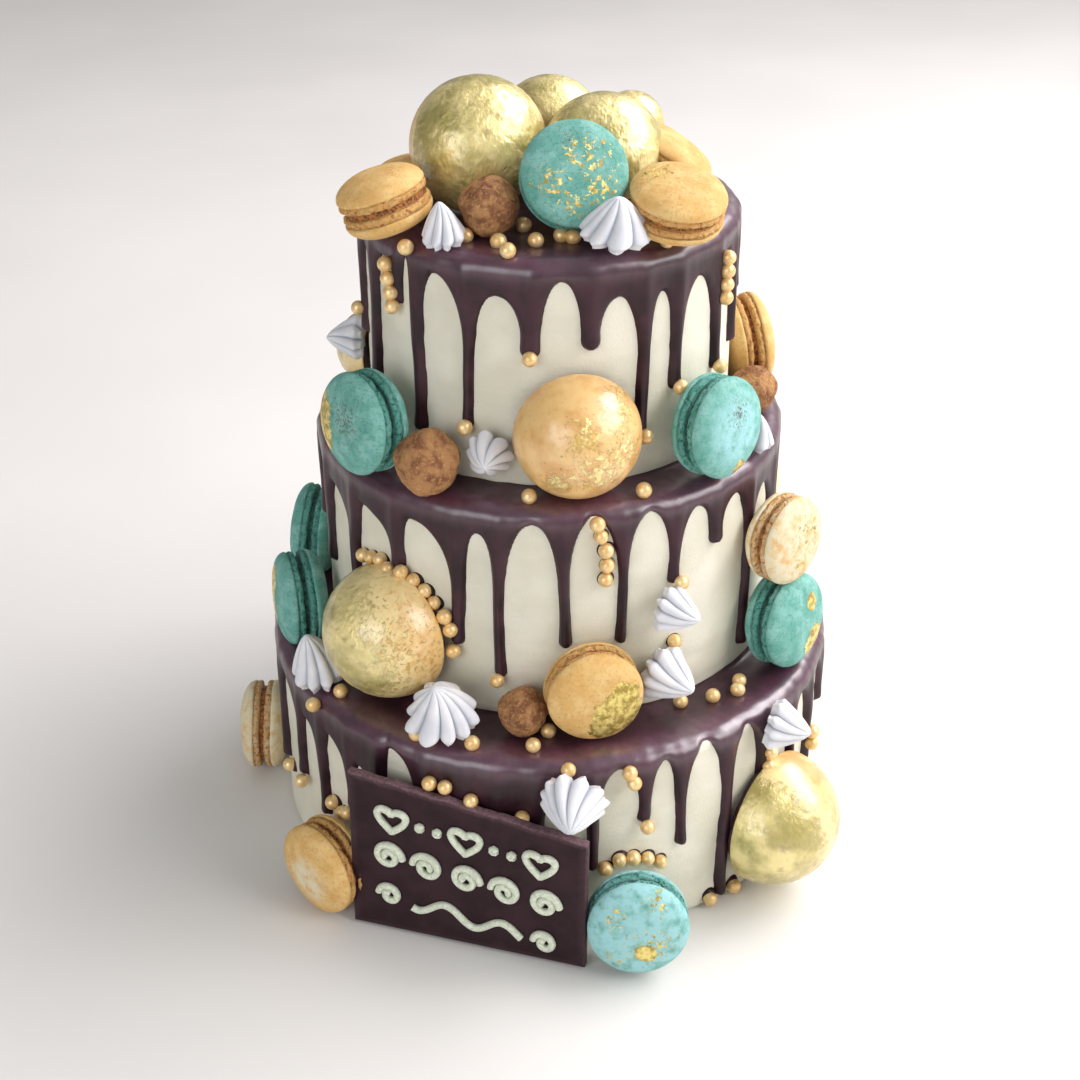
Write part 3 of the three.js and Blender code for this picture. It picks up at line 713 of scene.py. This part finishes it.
for name, tier in tiers.items():
    size, r, top, shift = pearl["radius"], tier["radius"], tier["top"], tier["shift"]
    lying = top + gap + pool + size * pearl["onLedge"]
    hanging, stuck = r + gap + ridge + size * pearl["onDrip"], r + size * pearl["onCream"]
    onLedge = [spot(b, reach, lying, shift) for b, reach in pearls[name]["ledge"]]
    onWall = [spot(b, hanging, top - drop, shift) for b, drop in pearls[name]["wall"]]
    onCream = [spot(b, stuck, top - drop, shift) for b, drop in pearls[name]["cream"]]
    nodes = [f"ganache_{name}"] + ([f"tier_{name}"] if onCream else [])
    addBeads(f"sugar_pearls_{name}", onLedge + onWall + onCream, pearl, pearlGold, nodes)
    if onCream:  # each is held by a dab of chocolate
        dabs = [
            spot(b + dab["aside"], r - dab["deep"], max(top - drop - dab["below"], dab["lowest"]), shift)
            for b, drop in pearls[name]["cream"]
        ]
        addBeads(f"chocolate_dabs_{name}", dabs, dab, ganache, [f"tier_{name}"])
print("cake: pearls set")

# Toppings by ledge: kind, bearing, then what differs from standing straight out from the wall. out and up
# shift it, turn and lean swing the way its face or tip points, size and tall scale it; cut tears the leaf.
# leaf, gold, fleck, dust and scuff are patches on its face: [right, up, reach], in shares of its radius.

macaron = dict(depth=11.3, flat=20.3, thick=11.3)
kinds = {
    "teal": macaron, "peach": macaron,
    "dome": dict(depth=4.5 - clear, flat=27.5, thick=1.5),
    "ball": dict(depth=27.5, flat=27.5, thick=0),
    "truffle": dict(depth=12.5, flat=12.5, thick=0),
    "kiss": dict(depth=6.6, flat=10.5, thick=6.6),
}
standard = dict(out=0, up=0, turn=0, lean=0, size=1)
allOver = [[0, 0, 1.8]]
toppings = {
    "top": [
        ["dome", -70, dict(
            out=30, lean=35, turn=50, cut=[0, 0.72], leaf=[[0.15, 0.15, 1.15], [0.1, -0.3, 0.8]],
        )],
        ["dome", 56, dict(
            out=25.5, lean=35, turn=-41, size=0.89, leaf=[[0.15, 0.2, 1.15], [0.5, -0.1, 0.7]],
        )],
        ["ball", 180, dict(out=16.5, size=0.8, leaf=allOver)],
        ["ball", 145, dict(out=61, size=0.52, leaf=allOver)],
        ["truffle", -25, dict(out=54, size=0.92)],
        ["teal", 10.5, dict(
            out=49.5, lean=28, turn=-5,
            fleck=[
                [-0.5, -0.2, 0.5], [0.3, 0.2, 0.55], [0.4, -0.4, 0.6], [-0.1, -0.6, 0.5], [-0.1, 0.3, 0.35],
            ],
            dust=[[-0.1, 0.62, 0.3]],
        )],
        ["kiss", -34, dict(out=72, size=0.88, tall=1.15, lean=84, turn=-40)],
        ["kiss", 20.5, dict(out=71, size=1.42, tall=0.75, lean=84, turn=10, lobes=9)],
        ["peach", -53.6, dict(out=78.3, lean=72, turn=-37, up=-2, size=0.86, tall=1.25)],
        ["peach", 40.7, dict(
            out=73.1, lean=73, turn=-17, up=-0.9, size=0.92, tall=1.05, fleck=[[-0.35, 0.45, 0.7]],
        )],
        ["peach", -82, dict(out=55, lean=86, size=0.72)],
        ["peach", 78, dict(out=48, lean=57, turn=12, size=0.87, fleck=[[0, -0.3, 0.5]])],
        ["teal", 176, dict(out=54, lean=82, fleck=[[0.2, 0.3, 0.6]])],
    ],
    "middle": [
        ["teal", -49.8, dict(
            lean=6, turn=1, out=5, size=1.02, gold=[[-0.75, 0.05, 0.42], [-0.68, -0.35, 0.4]],
            dust=[[0.1, 0.15, 0.85]],
        )],
        ["truffle", -31, dict(size=1.04)],
        ["kiss", -16.3, dict(lean=2, turn=6, up=6, size=0.95)],
        ["dome", 7.5, dict(
            size=0.91,
            fleck=[[0.2, -0.2, 0.5], [0.6, 0, 0.4], [0, 0.35, 0.35], [0.5, 0.6, 0.35], [-0.4, -0.4, 0.3]],
        )],
        ["teal", 45.2, dict(
            lean=7.5, turn=1, out=1.7, gold=[[0.1, -0.85, 0.2]], dust=[[0.05, 0.35, 0.55]],
            scuff=[[0, 0, 0.9]],
        )],
        ["kiss", 64, dict(out=9, lean=82, size=0.84)],
        ["truffle", 86, dict(size=0.8, out=-2.5)],
        ["peach", 104, dict(lean=6, turn=-3, out=-3)],
        ["kiss", -91.5, dict(up=20, size=0.95)],
        ["dome", -107, dict(size=0.62, leaf=[[0, 0.2, 0.9]])],
        ["dome", 136, dict(size=0.91, leaf=[[-0.2, 0.2, 0.9]])],
        ["teal", 168, dict(lean=5, gold=[[0.3, 0.3, 0.4]], fleck=[[-0.3, -0.2, 0.6]])],
        ["peach", 212, dict(lean=8, turn=6, gold=[[-0.2, 0.4, 0.4]])],
    ],
    "bottom": [
        ["teal", -101.5, dict(lean=4, turn=6, out=-3)],
        ["teal", -70.4, dict(lean=1, turn=-1.5, out=1.8, gold=[[-0.3, 0.3, 0.4], [-0.2, -0.25, 0.35]])],
        ["dome", -39.3, dict(
            size=1.03, up=2.5, leaf=[[-0.35, 0.2, 0.85], [0.15, -0.15, 0.6], [-0.3, -0.5, 0.5]],
            fleck=[[0.3, 0, 0.8]],
        )],
        ["kiss", -53.1, dict(out=13, lean=76, size=1.18, tall=1.2, turn=-10)],
        ["kiss", -21.1, dict(out=10.4, lean=66, size=1.49, turn=8, lobes=10)],
        ["truffle", -5.6, dict(size=0.81, out=-3)],
        ["peach", 9.1, dict(
            lean=3, turn=1.5, out=-2.4, size=0.96,
            gold=[[0.4, -0.3, 0.55], [0.55, 0.1, 0.35], [0.1, -0.62, 0.3]],
        )],
        ["kiss", 26.3, dict(turn=22, lean=-12, up=5.7, size=1.2)],
        ["kiss", 28, dict(turn=28, lean=-6, up=38, size=1.02)],
        ["teal", 60.4, dict(lean=6.4, turn=-10, out=1.7, gold=[[0.35, -0.55, 0.4], [0.25, 0.4, 0.2]])],
        ["peach", 60, dict(
            lean=3, turn=-13, up=41, size=0.92, fleck=[[0.2, 0.3, 0.6], [-0.1, -0.4, 0.6]],
            scuff=[[0, 0.1, 2.4]],
        )],
        ["kiss", 79, dict(out=8, lean=84, size=0.84)],
        ["dome", 126, dict(size=1.02, leaf=[[0.2, 0.3, 0.9]])],
        ["teal", 156, dict(lean=5, gold=[[0.1, 0.5, 0.4]])],
        ["kiss", 178, dict(out=1, lean=80, size=1.1)],
        ["peach", 200, dict(lean=6, turn=5, gold=[[0.1, -0.3, 0.5]])],
        ["dome", 231, dict(size=0.91, leaf=[[-0.1, 0.1, 0.9]])],
    ],
    "floor": [
        ["teal", 14.3, dict(
            out=5.8, lean=9, turn=-14, size=1.01, gold=[[0.15, -0.38, 0.22]], scuff=[[0, 0.1, 1.8]],
            fleck=[
                [0.2, -0.3, 0.6], [0.5, -0.1, 0.4], [-0.45, 0.35, 0.35], [-0.5, -0.55, 0.3],
                [0.35, 0.65, 0.35],
            ],
        )],
        ["peach", -42.6, dict(out=1.5, lean=1, scuff=[[0.0, -0.1, 0.6]])],
        ["dome", 48.3, dict(
            size=1.06, up=3, turn=2,
            leaf=[
                [-0.8, 0.1, 0.75], [-0.65, 0.5, 0.55], [-0.4, -0.65, 0.5], [0.3, -0.85, 0.5],
                [0.9, 0.3, 0.35],
            ],
        )],
        ["peach", -89.1, dict(lean=2, turn=1.8, out=-3, scuff=[[0, 0, 2.4]])],
        ["kiss", 3.7, dict(up=60, lean=-10, turn=-9, size=1.36, tall=0.9, lobes=11)],
        ["kiss", 46.8, dict(up=71.5, lean=-8, turn=22, size=1.08)],
        ["teal", 120, dict(lean=5, gold=[[0.3, 0.2, 0.4]])],
        ["dome", 165, dict(size=1.02, leaf=[[0, 0.3, 0.95]])],
        ["peach", 214, dict(lean=6, turn=-6, fleck=[[0.2, 0.2, 0.7]])],
    ],
}


def standing(kind, ledge, bearing, change):  # where its centre is, and which way right, up and out are for it
    out, up, turn, lean, size = (change.get(word, start) for word, start in standard.items())
    shape, shelf, tilt = kinds[kind], ledges[ledge], radians(lean)
    reach = (0 if shelf["wall"] is None else shelf["wall"] + clear + shape["depth"] * size) + out
    rest = shape["flat"]
    if kind not in ("ball", "truffle"):
        rest = shape["flat"] * cos(tilt) + shape["thick"] * abs(sin(tilt))
    centre = spot(bearing, reach, shelf["z"] + rest * size + up, shelf["shift"])
    heading = bearing + turn
    aim, right = spot(heading, cos(tilt), sin(tilt)), spot(heading + 90, 1, 0)
    return centre, np.array([right, np.cross(aim, right), aim]), size


def standingMesh(name, points, faces, stand):
    centre, axes, size = stand
    return meshOf(name, centre + points * size @ axes, faces)


def patches(face, spots):  # above 0 inside a patch, face in shares of the piece's radius
    field = np.full(len(face), -1.0)
    for x, y, reach in spots:
        field = np.maximum(field, 1 - np.hypot(face[:, 0] - x, face[:, 1] - y) / reach)
    return field


# Macarons: two domed shells with frilly feet, and a filling set back between them

macaronShape = dict(
    radius=20.3, half=11.3, rim=4.5, foot=1.15, columns=168, frill=0.8, ruffle=0.3, oval=0.012, dent=0.25,
)


def macaronRings(seed):
    m = macaronShape
    r, half, rim, foot = m["radius"], m["half"], m["rim"], m["foot"]
    a = np.radians(np.linspace(4, 90, 16))
    shell = np.stack([r * np.sin(a) ** 0.8, rim + (half - rim) * np.cos(a)], 1)
    under = [[r * 0.985, rim - 0.35], [r * 0.955, rim - 0.65]]
    share = np.linspace(0, 1, 7)
    frill = np.stack([r * (0.975 + 0.02 * np.sin(share * pi)), rim - 1 + (foot + 0.3 - rim + 1) * share], 1)
    middle = [[r * 0.93, foot], [r * 0.875, foot - 0.15], [r * 0.86, foot * 0.5], [r * 0.86, 0]]
    side = np.concatenate([shell, under, frill, middle])
    kind = np.concatenate([np.zeros(len(shell) + 1), np.ones(len(frill) + 2), np.full(3, 2)])
    profile = np.concatenate([side, side[-2::-1] * [1, -1]])
    kind = np.concatenate([kind, kind[-2::-1]])
    turn = np.linspace(0, 2 * pi, m["columns"], endpoint=False)[None]
    reach, z, frilly = profile[:, :1], profile[:, 1:], kind[:, None] == 1
    plain = around(reach, turn, z)
    rough = softNoise(plain, (1.9, 1.9, 1.5), 2, seed)
    rough = rough - 1.2 * np.clip(rough - 0.25, 0, None) - 0.15  # the outer side flatter, the pits deep
    ruffle = softNoise(plain, (2.6, 2.6, 50), 2, seed + 4) * m["ruffle"] * np.sign(z)
    oval = softNoise(plain, 16, 1, seed + 1) * m["oval"]
    lift = np.where(frilly, ruffle, softNoise(plain, 14, 1, seed) * m["dent"])
    reach = reach + np.where(frilly, rough * m["frill"], 0) + oval * reach
    return around(reach, turn, z + lift), kind


def macaronPiece(name, node, stand, change, seed, kind):
    rings, part = macaronRings(seed)
    points, faces = closeRings(rings)
    points[:, 2] *= change.get("tall", 1)
    face, front = points[:, :2] / macaronShape["radius"], points[:, 2] > 0
    marks = dict(foot=np.append(np.repeat(part == 1, rings.shape[1]), [0, 0]))
    for word in ("gold", "fleck", "dust"):
        marks[word] = np.where(front, patches(face, change.get(word, [])), -1)
    marks["scuff"] = np.clip(patches(face, change.get("scuff", [])) * 2, 0, 1)
    mesh = standingMesh("macaron", points, faces, stand)
    addPiece(name, mesh, [shells[kind], fillings[kind]], [node], marks)
    secondFinish(mesh, (part[:-1] == 2) & (part[1:] == 2), rings.shape[1], 0)


# Domes and balls: a chocolate shell with leaf laid over it; against a wall it is held by a dab of chocolate

domeShape = dict(radius=27.5, band=1.5, columns=180, crumple=0.4, proud=0.12, glue=2.5)


def gildedPiece(name, node, stand, change, seed, whole, glued):
    r, band, glue = domeShape["radius"], domeShape["band"], domeShape["glue"]
    a = np.radians(np.linspace(1.5, 178.5 if whole else 90, 90 if whole else 62))
    profile = np.stack([r * np.sin(a), r * np.cos(a)], 1)
    if not whole:
        rim = [[r, -band + 0.5], [r - 0.15, -band + 0.15], [r - 0.5, -band]]
        back = [[r * 0.8, -band], [r * 0.4, -band]]
        if glued:
            back = [[r * 0.95, -band], [r * 0.94, -band - glue * 0.4]]
            back += [[r * 0.9, -band - glue], [r * 0.4, -band - glue]]
        profile = np.concatenate([profile, rim, back])
    turn = np.linspace(0, 2 * pi, domeShape["columns"], endpoint=False)[None]
    reach, z = profile[:, :1], profile[:, 1:]
    if glued:
        uneven = 0.8 * softNoise(np.stack([4 * turn, 0 * turn, 0 * turn], -1), 1, 2, seed)
        reach = reach + np.where(z < -band - 0.1, uneven, 0)
    points, faces = closeRings(around(reach, turn, z))
    leaf, fleck = (patches(points[:, :2] / r, change.get(word, [])) for word in ("leaf", "fleck"))
    if "cut" in change:  # a straight torn edge: the side it keeps, and how far from the centre it runs
        side, offset = change["cut"]
        along = points[:, 0] / r * cos(radians(side)) + points[:, 1] / r * sin(radians(side))
        leaf = np.minimum(leaf, (along + offset) * 5)
    if not whole:
        leaf, fleck = (np.where(points[:, 2] < -band + 0.1, -1, field) for field in (leaf, fleck))
    lump = np.abs(softNoise(points, 5, 3, seed)) * domeShape["crumple"] * smoothStep(leaf, -0.1, 0.2)
    outward = points / np.linalg.norm(points, axis=1, keepdims=True)
    points = points - outward * (lump - domeShape["proud"])[:, None] * (points[:, 2:] > 0)
    mesh = standingMesh("dome", points, faces, stand)
    addPiece(name, mesh, [gilded, ganache], [node], dict(leaf=leaf, fleck=fleck))
    if glued:
        dabbed = np.arange(len(profile) - 1) >= len(profile) - len(back)
        secondFinish(mesh, dabbed, domeShape["columns"], 1)


# Truffles: rolled by hand and dusted

truffleShape = dict(radius=12.5, splits=6, lump=0.035, crumb=0.35)


def trufflePiece(name, node, stand, seed):
    ball = bmesh.new()
    bmesh.ops.create_icosphere(ball, subdivisions=truffleShape["splits"], radius=truffleShape["radius"])
    points = np.array([v.co[:] for v in ball.verts])
    faces = np.array([[v.index for v in f.verts] for f in ball.faces])
    ball.free()
    swell = 1 + truffleShape["lump"] * np.sin(points[:, 0] * 0.4 + 1) + 0.03 * np.sin(points[:, 1] * 0.5)
    outward = points / truffleShape["radius"]
    crumb = truffleShape["crumb"] * (softNoise(points, 2.6, 3, seed) + 0.6 * softNoise(points, 7, 1, seed))
    points = points * swell[:, None] + outward * crumb[:, None]
    addPiece(name, standingMesh("truffle", points, [faces], stand), [cocoa], [node])


# Meringue kisses: piped through a star nozzle, twisted a little and drawn up to a point

kissShape = dict(
    radius=10.5, height=16.5, foot=6.6, lobes=8, dent=0.46, twist=26, sides=216, steps=34,
    belly=0.68, uneven=0.13, wobble=0.05, bend=0.8, weld=0.01,
)


def kissRecipe():
    k = kissShape
    numbers = dict.fromkeys(["Radius", "Height", "Foot", "Lobes", "Dent", "Twist", "Bend"], "Float")
    r = Recipe("pipedKiss", **numbers, Finish="Material")
    inputs = {"Vertices": k["sides"], "Side Segments": k["steps"], "Radius": 1, "Depth": 1}
    body = r.node("GeometryNodeMeshCylinder", dict(fill_type="TRIANGLE_FAN"), inputs)
    place = r.node("GeometryNodeInputPosition")
    x, y, z = (r.node("ShaderNodeSeparateXYZ", {}, {0: place}, n) for n in range(3))
    up = z + 0.5
    rise = (1 - up).work("MAXIMUM", 0).work("POWER", k["belly"]) * (up.ramp(0, 0.2) * 0.25 + 0.75) * 1.16
    turn = y.work("ARCTAN2", x)
    uneven = turn + (turn * 2 + 1).work("SINE") * k["uneven"]
    wave = (uneven * r.input("Lobes") * 0.5).work("COSINE").work("ABSOLUTE")
    pleat = wave.work("POWER", 0.5)
    point = wave.work("MINIMUM", 1).work("ARCSINE") * (2 / pi)  # the scallops of the foot end in points
    share = up.ramp(0.02, 0.26, 0.5, 0.0)
    lobe = pleat * (1 - share) + point * share
    fade = (1 - up.work("POWER", 3.0) * 0.55) * up.ramp(0.0, 0.25, 1.2, 0.7)
    wobble = (turn * 3 + 2).work("SINE") * k["wobble"] + 0.97
    reach = r.input("Radius") * rise * wobble * (1 - r.input("Dent") * (1 - lobe) * fade)
    spin = turn + up * r.input("Twist")
    reach = reach * (x * x + y * y).work("SQRT")  # 0 at the middle of the two ends
    inputs = {
        "X": spin.work("COSINE") * reach + up * up * up * r.input("Bend"),
        "Y": spin.work("SINE") * reach, "Z": up * r.input("Height") - r.input("Foot"),
    }
    moved = r.node("ShaderNodeCombineXYZ", {}, inputs)
    # The mark for the painted shade in the grooves: 1 deep in a groove, 0 on a ridge
    inputs = {"Geometry": body, "Name": "grooveShade", "Value": 1 - lobe}
    marked = r.node("GeometryNodeStoreNamedAttribute", dict(data_type="FLOAT", domain="POINT"), inputs)
    shaped = r.node("GeometryNodeSetPosition", {}, {"Geometry": marked, "Position": moved})
    r.end(r.node("GeometryNodeMergeByDistance", {}, {"Geometry": shaped, "Distance": k["weld"] * mm}))
    return r


piped = kissRecipe()
nothing = bpy.data.meshes.new("nothing")


def kissPiece(name, node, stand, change, seed):
    centre, axes, size = stand
    k, tall = kissShape, change.get("tall", 1)
    mesh = piped.meshFrom(
        nothing, Radius=k["radius"] * size * mm, Height=k["height"] * size * tall * mm,
        Foot=k["foot"] * size * tall * mm, Lobes=float(change.get("lobes", k["lobes"])), Dent=k["dent"],
        Twist=radians(k["twist"]), Bend=k["bend"] * sin(seed) * mm, Finish=meringue,
    )
    mesh.transform(Matrix.Translation(Vector(centre * mm)) @ Matrix(axes.T.tolist()).to_4x4())
    addPiece(name, mesh, [], [node])


counts = dict.fromkeys(kinds, 0)
for ledge, rows in toppings.items():
    for kind, bearing, change in rows:
        counts[kind] += 1
        solid = f"macaron_{kind}" if kind in shells else kind
        node, seed = f"{solid}_{counts[kind]}", len(solid) * 3 + counts[kind] * 5
        stand = standing(kind, ledge, bearing, change)
        if kind in shells:
            macaronPiece(f"{kind}_macaron_{counts[kind]}", node, stand, change, seed, kind)
        elif kind in ("dome", "ball"):
            gildedPiece(f"gilded_{node}", node, stand, change, seed, kind == "ball", ledge != "top")
        elif kind == "truffle":
            trufflePiece(f"cocoa_{node}", node, stand, seed)
        else:
            kissPiece(f"meringue_{node}", node, stand, change, seed)
    print("cake: toppings set on the", ledge)

# The plaque: a cast slab whose upper edge was snapped off, with piped scrolls, hearts and dots

plaque = dict(
    width=101, left=77, right=62, thick=4.5, bearing=-16.4, reach=133, slide=3.5, lean=1.7,
    edge=0.9, chip=0.5, snapped=0.4, steps=60, columns=150,
)


def onPlaque(x, height, out):  # from the slab's own place to the cake's
    p, tilt = plaque, radians(90 - plaque["lean"])
    up, away = height * sin(tilt) + out * cos(tilt), height * cos(tilt) - out * sin(tilt)
    local = np.stack(np.broadcast_arrays(x + p["slide"], away, up), -1)
    a = radians(p["bearing"])
    turn = np.array([[cos(a), sin(a), 0], [-sin(a), cos(a), 0], [0, 0, 1]])
    return local @ turn + spot(p["bearing"], p["reach"], gap)


def plaqueRings():
    p = plaque
    half = p["width"] / 2
    across, steps = np.linspace(-half, half, p["columns"]), p["steps"]
    chip = p["chip"] * softNoise(np.stack([across, 0 * across, 0 * across], 1), 6, 3, 4) - p["snapped"]
    slope = p["left"] + (p["right"] - p["left"]) * (across + half) / p["width"]
    snapped = np.stack([across, slope + chip], 1)
    right = np.stack([np.full(steps, half), np.linspace(p["right"], 0, steps + 1)[1:]], 1)
    base = np.stack([across[::-1][1:], np.zeros(len(across) - 1)], 1)
    left = np.stack([np.full(steps - 1, -half), np.linspace(0, p["left"], steps + 1)[1:-1]], 1)
    outline = np.concatenate([snapped, right, base, left])[::-1]
    middle = np.array([0, (p["left"] + p["right"]) / 4])
    e, depth = p["edge"], p["thick"]
    rows = [[half * 0.9, 0], [half * 0.5, 0], [4, 0], [e, 0], [e * 0.3, e * 0.3], [0, e]]
    rows += [[0, depth - e], [e * 0.3, depth - e * 0.3], [e, depth]]
    rows += [[half * 0.5, depth], [half * 0.9, depth]]
    rings = [onPlaque(*((outline - middle) * (1 - inset / half) + middle).T, -out) for inset, out in rows]
    worn = np.array([0, 0, 0, 0.35, 1, 1, 1, 1, 0.35, 0, 0])
    upper = np.concatenate([np.ones(len(snapped)), np.full(len(outline) - len(snapped), 0.35)])[::-1]
    return np.array(rings), worn[:, None] * upper[None]


rings, worn = plaqueRings()
points, faces = closeRings(rings)
mesh, marks = meshOf("plaque", points, faces), dict(worn=np.append(worn.ravel(), [0, 0]))
addPiece("chocolate_plaque", mesh, [plaqueChocolate], ["plaque"], marks)

piping = dict(
    stroke=3.1, uneven=0.35, lumps=160.0, spacing=0.7, sides=10, sunk=0.28,
    rows=[53, 34, 14], slope=-0.13, margin=11, heart=6.2, curl=6.2, smallCurl=4.8, dot=0.8, wave=3.4,
)


def heart(x, y, size):
    t = np.linspace(0, 2 * pi, 40)
    tall = 0.81 * np.cos(t) - 0.31 * np.cos(2 * t) - 0.12 * np.cos(3 * t)
    return np.stack([x + size * np.sin(t) ** 3, y + size * tall], 1)


def curl(x, y, size, turns=1.6, flip=1):
    t = np.linspace(0, turns * 2 * pi, 44)
    reach = size * (1 - 0.8 * t / t[-1])
    return np.stack([x - flip * reach * np.cos(t), y + reach * np.sin(t)], 1)


def dot(x, y):
    t = np.linspace(0, 2 * pi, 12)
    return np.stack([x + piping["dot"] * np.cos(t), y + piping["dot"] * np.sin(t)], 1)


def strokes():
    p, half = piping, plaque["width"] / 2 - piping["margin"]
    top, middle, low = p["rows"]
    lines = [heart(x, top, p["heart"]) for x in (-half + 8, 0, half - 8)]
    lines += [dot(x, top) for x in (-half + 20, -12, 12, half - 20)]
    for n, x in enumerate(np.linspace(-half + 6, half - 6, 5)):
        lines.append(curl(x, middle, p["curl"], flip=1 if n % 2 else -1))
    lines += [curl(x, low, p["smallCurl"], 1.3) for x in (-half + 6, half - 6)]
    wave = np.linspace(-half + 16, half - 16, 80)
    lines.append(np.stack([wave, low + p["wave"] * np.sin((wave + half) / 3.9)], 1))
    return [line + np.stack([0 * line[:, 0], line[:, 0] * p["slope"]], 1) for line in lines]


def pipingRecipe():
    r = Recipe("pipedLine", Stroke="Float", Uneven="Float", Finish="Material")
    inputs = {"Resolution": piping["sides"], "Radius": r.input("Stroke") * 0.5}
    profile = r.node("GeometryNodeCurvePrimitiveCircle", {}, inputs)
    inputs = {"Curve": r.input("Geometry"), "Length": piping["spacing"] * mm}
    lines = r.node("GeometryNodeResampleCurve", dict(mode="LENGTH"), inputs)
    swell = r.node("ShaderNodeTexNoise", {}, {"Scale": piping["lumps"], "Detail": 1.0})
    swell = 1 + (swell - 0.5) * 2 * r.input("Uneven")
    lines = r.node("GeometryNodeSetCurveRadius", {}, {"Curve": lines, "Radius": swell})
    inputs = {"Curve": lines, "Profile Curve": profile, "Fill Caps": True}
    r.end(r.node("GeometryNodeCurveToMesh", {}, inputs))
    return r


path = bpy.data.curves.new("strokes", "CURVE")
path.dimensions = "3D"
for line in strokes():
    spline = path.splines.new("POLY")
    spline.points.add(len(line) - 1)
    places = onPlaque(line[:, 0], line[:, 1], piping["stroke"] * piping["sunk"]) * mm
    spline.points.foreach_set("co", np.concatenate([places, np.ones((len(places), 1))], 1).ravel())
mesh = pipingRecipe().meshFrom(path, Stroke=piping["stroke"] * mm, Uneven=piping["uneven"], Finish=icing)
addPiece("plaque_piping", mesh, [], ["plaque"])
print("cake: plaque piped")

# Stage, light and camera

stage = dict(
    floor=6.0, aim=(0, 0, 0.16), glow=0.6, dim=(0.34, 0.34, 0.34, 1), bright=(0.96, 0.94, 0.97, 1),
)
lamps = {
    "window": dict(place=(1.62, -0.5, 1.25), size=(1.5, 1.2), power=27, tone=(1, 0.98, 0.97)),
    "fill": dict(place=(-1.1, -1.7, 0.9), size=(1.4, 1.2), power=17, tone=(0.97, 0.98, 1)),
    "back": dict(place=(1.05, 0.6, 1.35), size=(1.4, 0.9), power=29, tone=(1, 0.96, 0.98)),
}


def paleFloor():
    f = Finish("paleFloor", Specular_IOR_Level=0.3)
    base = f.blend(f.noise(300, 2).ramp(0.3, 0.7), colour(226, 224, 220), colour(232, 230, 226))
    return f.show(Base_Color=base, Roughness=f.noise(80, 2).ramp(0.3, 0.7, 0.7, 0.8))


mesh = bpy.data.meshes.new("floor")
side = stage["floor"] / 2
corners = [(-side, -side, -mm), (side, -side, -mm), (side, side, -mm), (-side, side, -mm)]
mesh.from_pydata(corners, [], [(0, 1, 2, 3)])
mesh.materials.append(paleFloor())
linked("floor", mesh)

for name, look in lamps.items():
    lamp = bpy.data.lights.new(name, "AREA")
    lamp.shape, (lamp.size, lamp.size_y) = "RECTANGLE", look["size"]
    lamp.energy, lamp.color = look["power"], look["tone"]
    holder = linked(name, lamp)
    holder.location = look["place"]
    aim = Vector(stage["aim"]) - Vector(look["place"])
    holder.rotation_euler = aim.to_track_quat("-Z", "Y").to_euler()

world = bpy.data.worlds.new("room")
bpy.context.scene.world = world
world.use_nodes = True
room = Board(world.node_tree)
ray = room.node("ShaderNodeTexCoord", output="Generated")
aside, height = (room.node("ShaderNodeSeparateXYZ", {}, {0: ray}, n) for n in (0, 2))
walls = {0: (height * 0.3 + aside * 0.8).ramp(-0.4, 0.8), 6: stage["dim"], 7: stage["bright"]}
sky = room.node("ShaderNodeMix", dict(data_type="RGBA"), walls, 2)
world.node_tree.links.new(sky.socket, world.node_tree.nodes["Background"].inputs["Color"])
world.node_tree.nodes["Background"].inputs["Strength"].default_value = stage["glow"]

view = dict(place=(-1.3, -674, 508), pitch=27.49, focal=1727, centre=(546.5, 466), frame=1080, film=36)
lens = bpy.data.cameras.new("photo")
lens.sensor_width = view["film"]
lens.lens = view["focal"] / view["frame"] * view["film"]
lens.shift_x = (view["frame"] / 2 - view["centre"][0]) / view["frame"]
lens.shift_y = (view["centre"][1] - view["frame"] / 2) / view["frame"]
camera = linked("photo", lens)
camera.location = Vector(view["place"]) * mm
camera.rotation_euler = (radians(90 - view["pitch"]), 0, 0)
bpy.context.scene.camera = camera
bpy.context.scene.view_settings.view_transform = "Standard"

print("cake: ready")
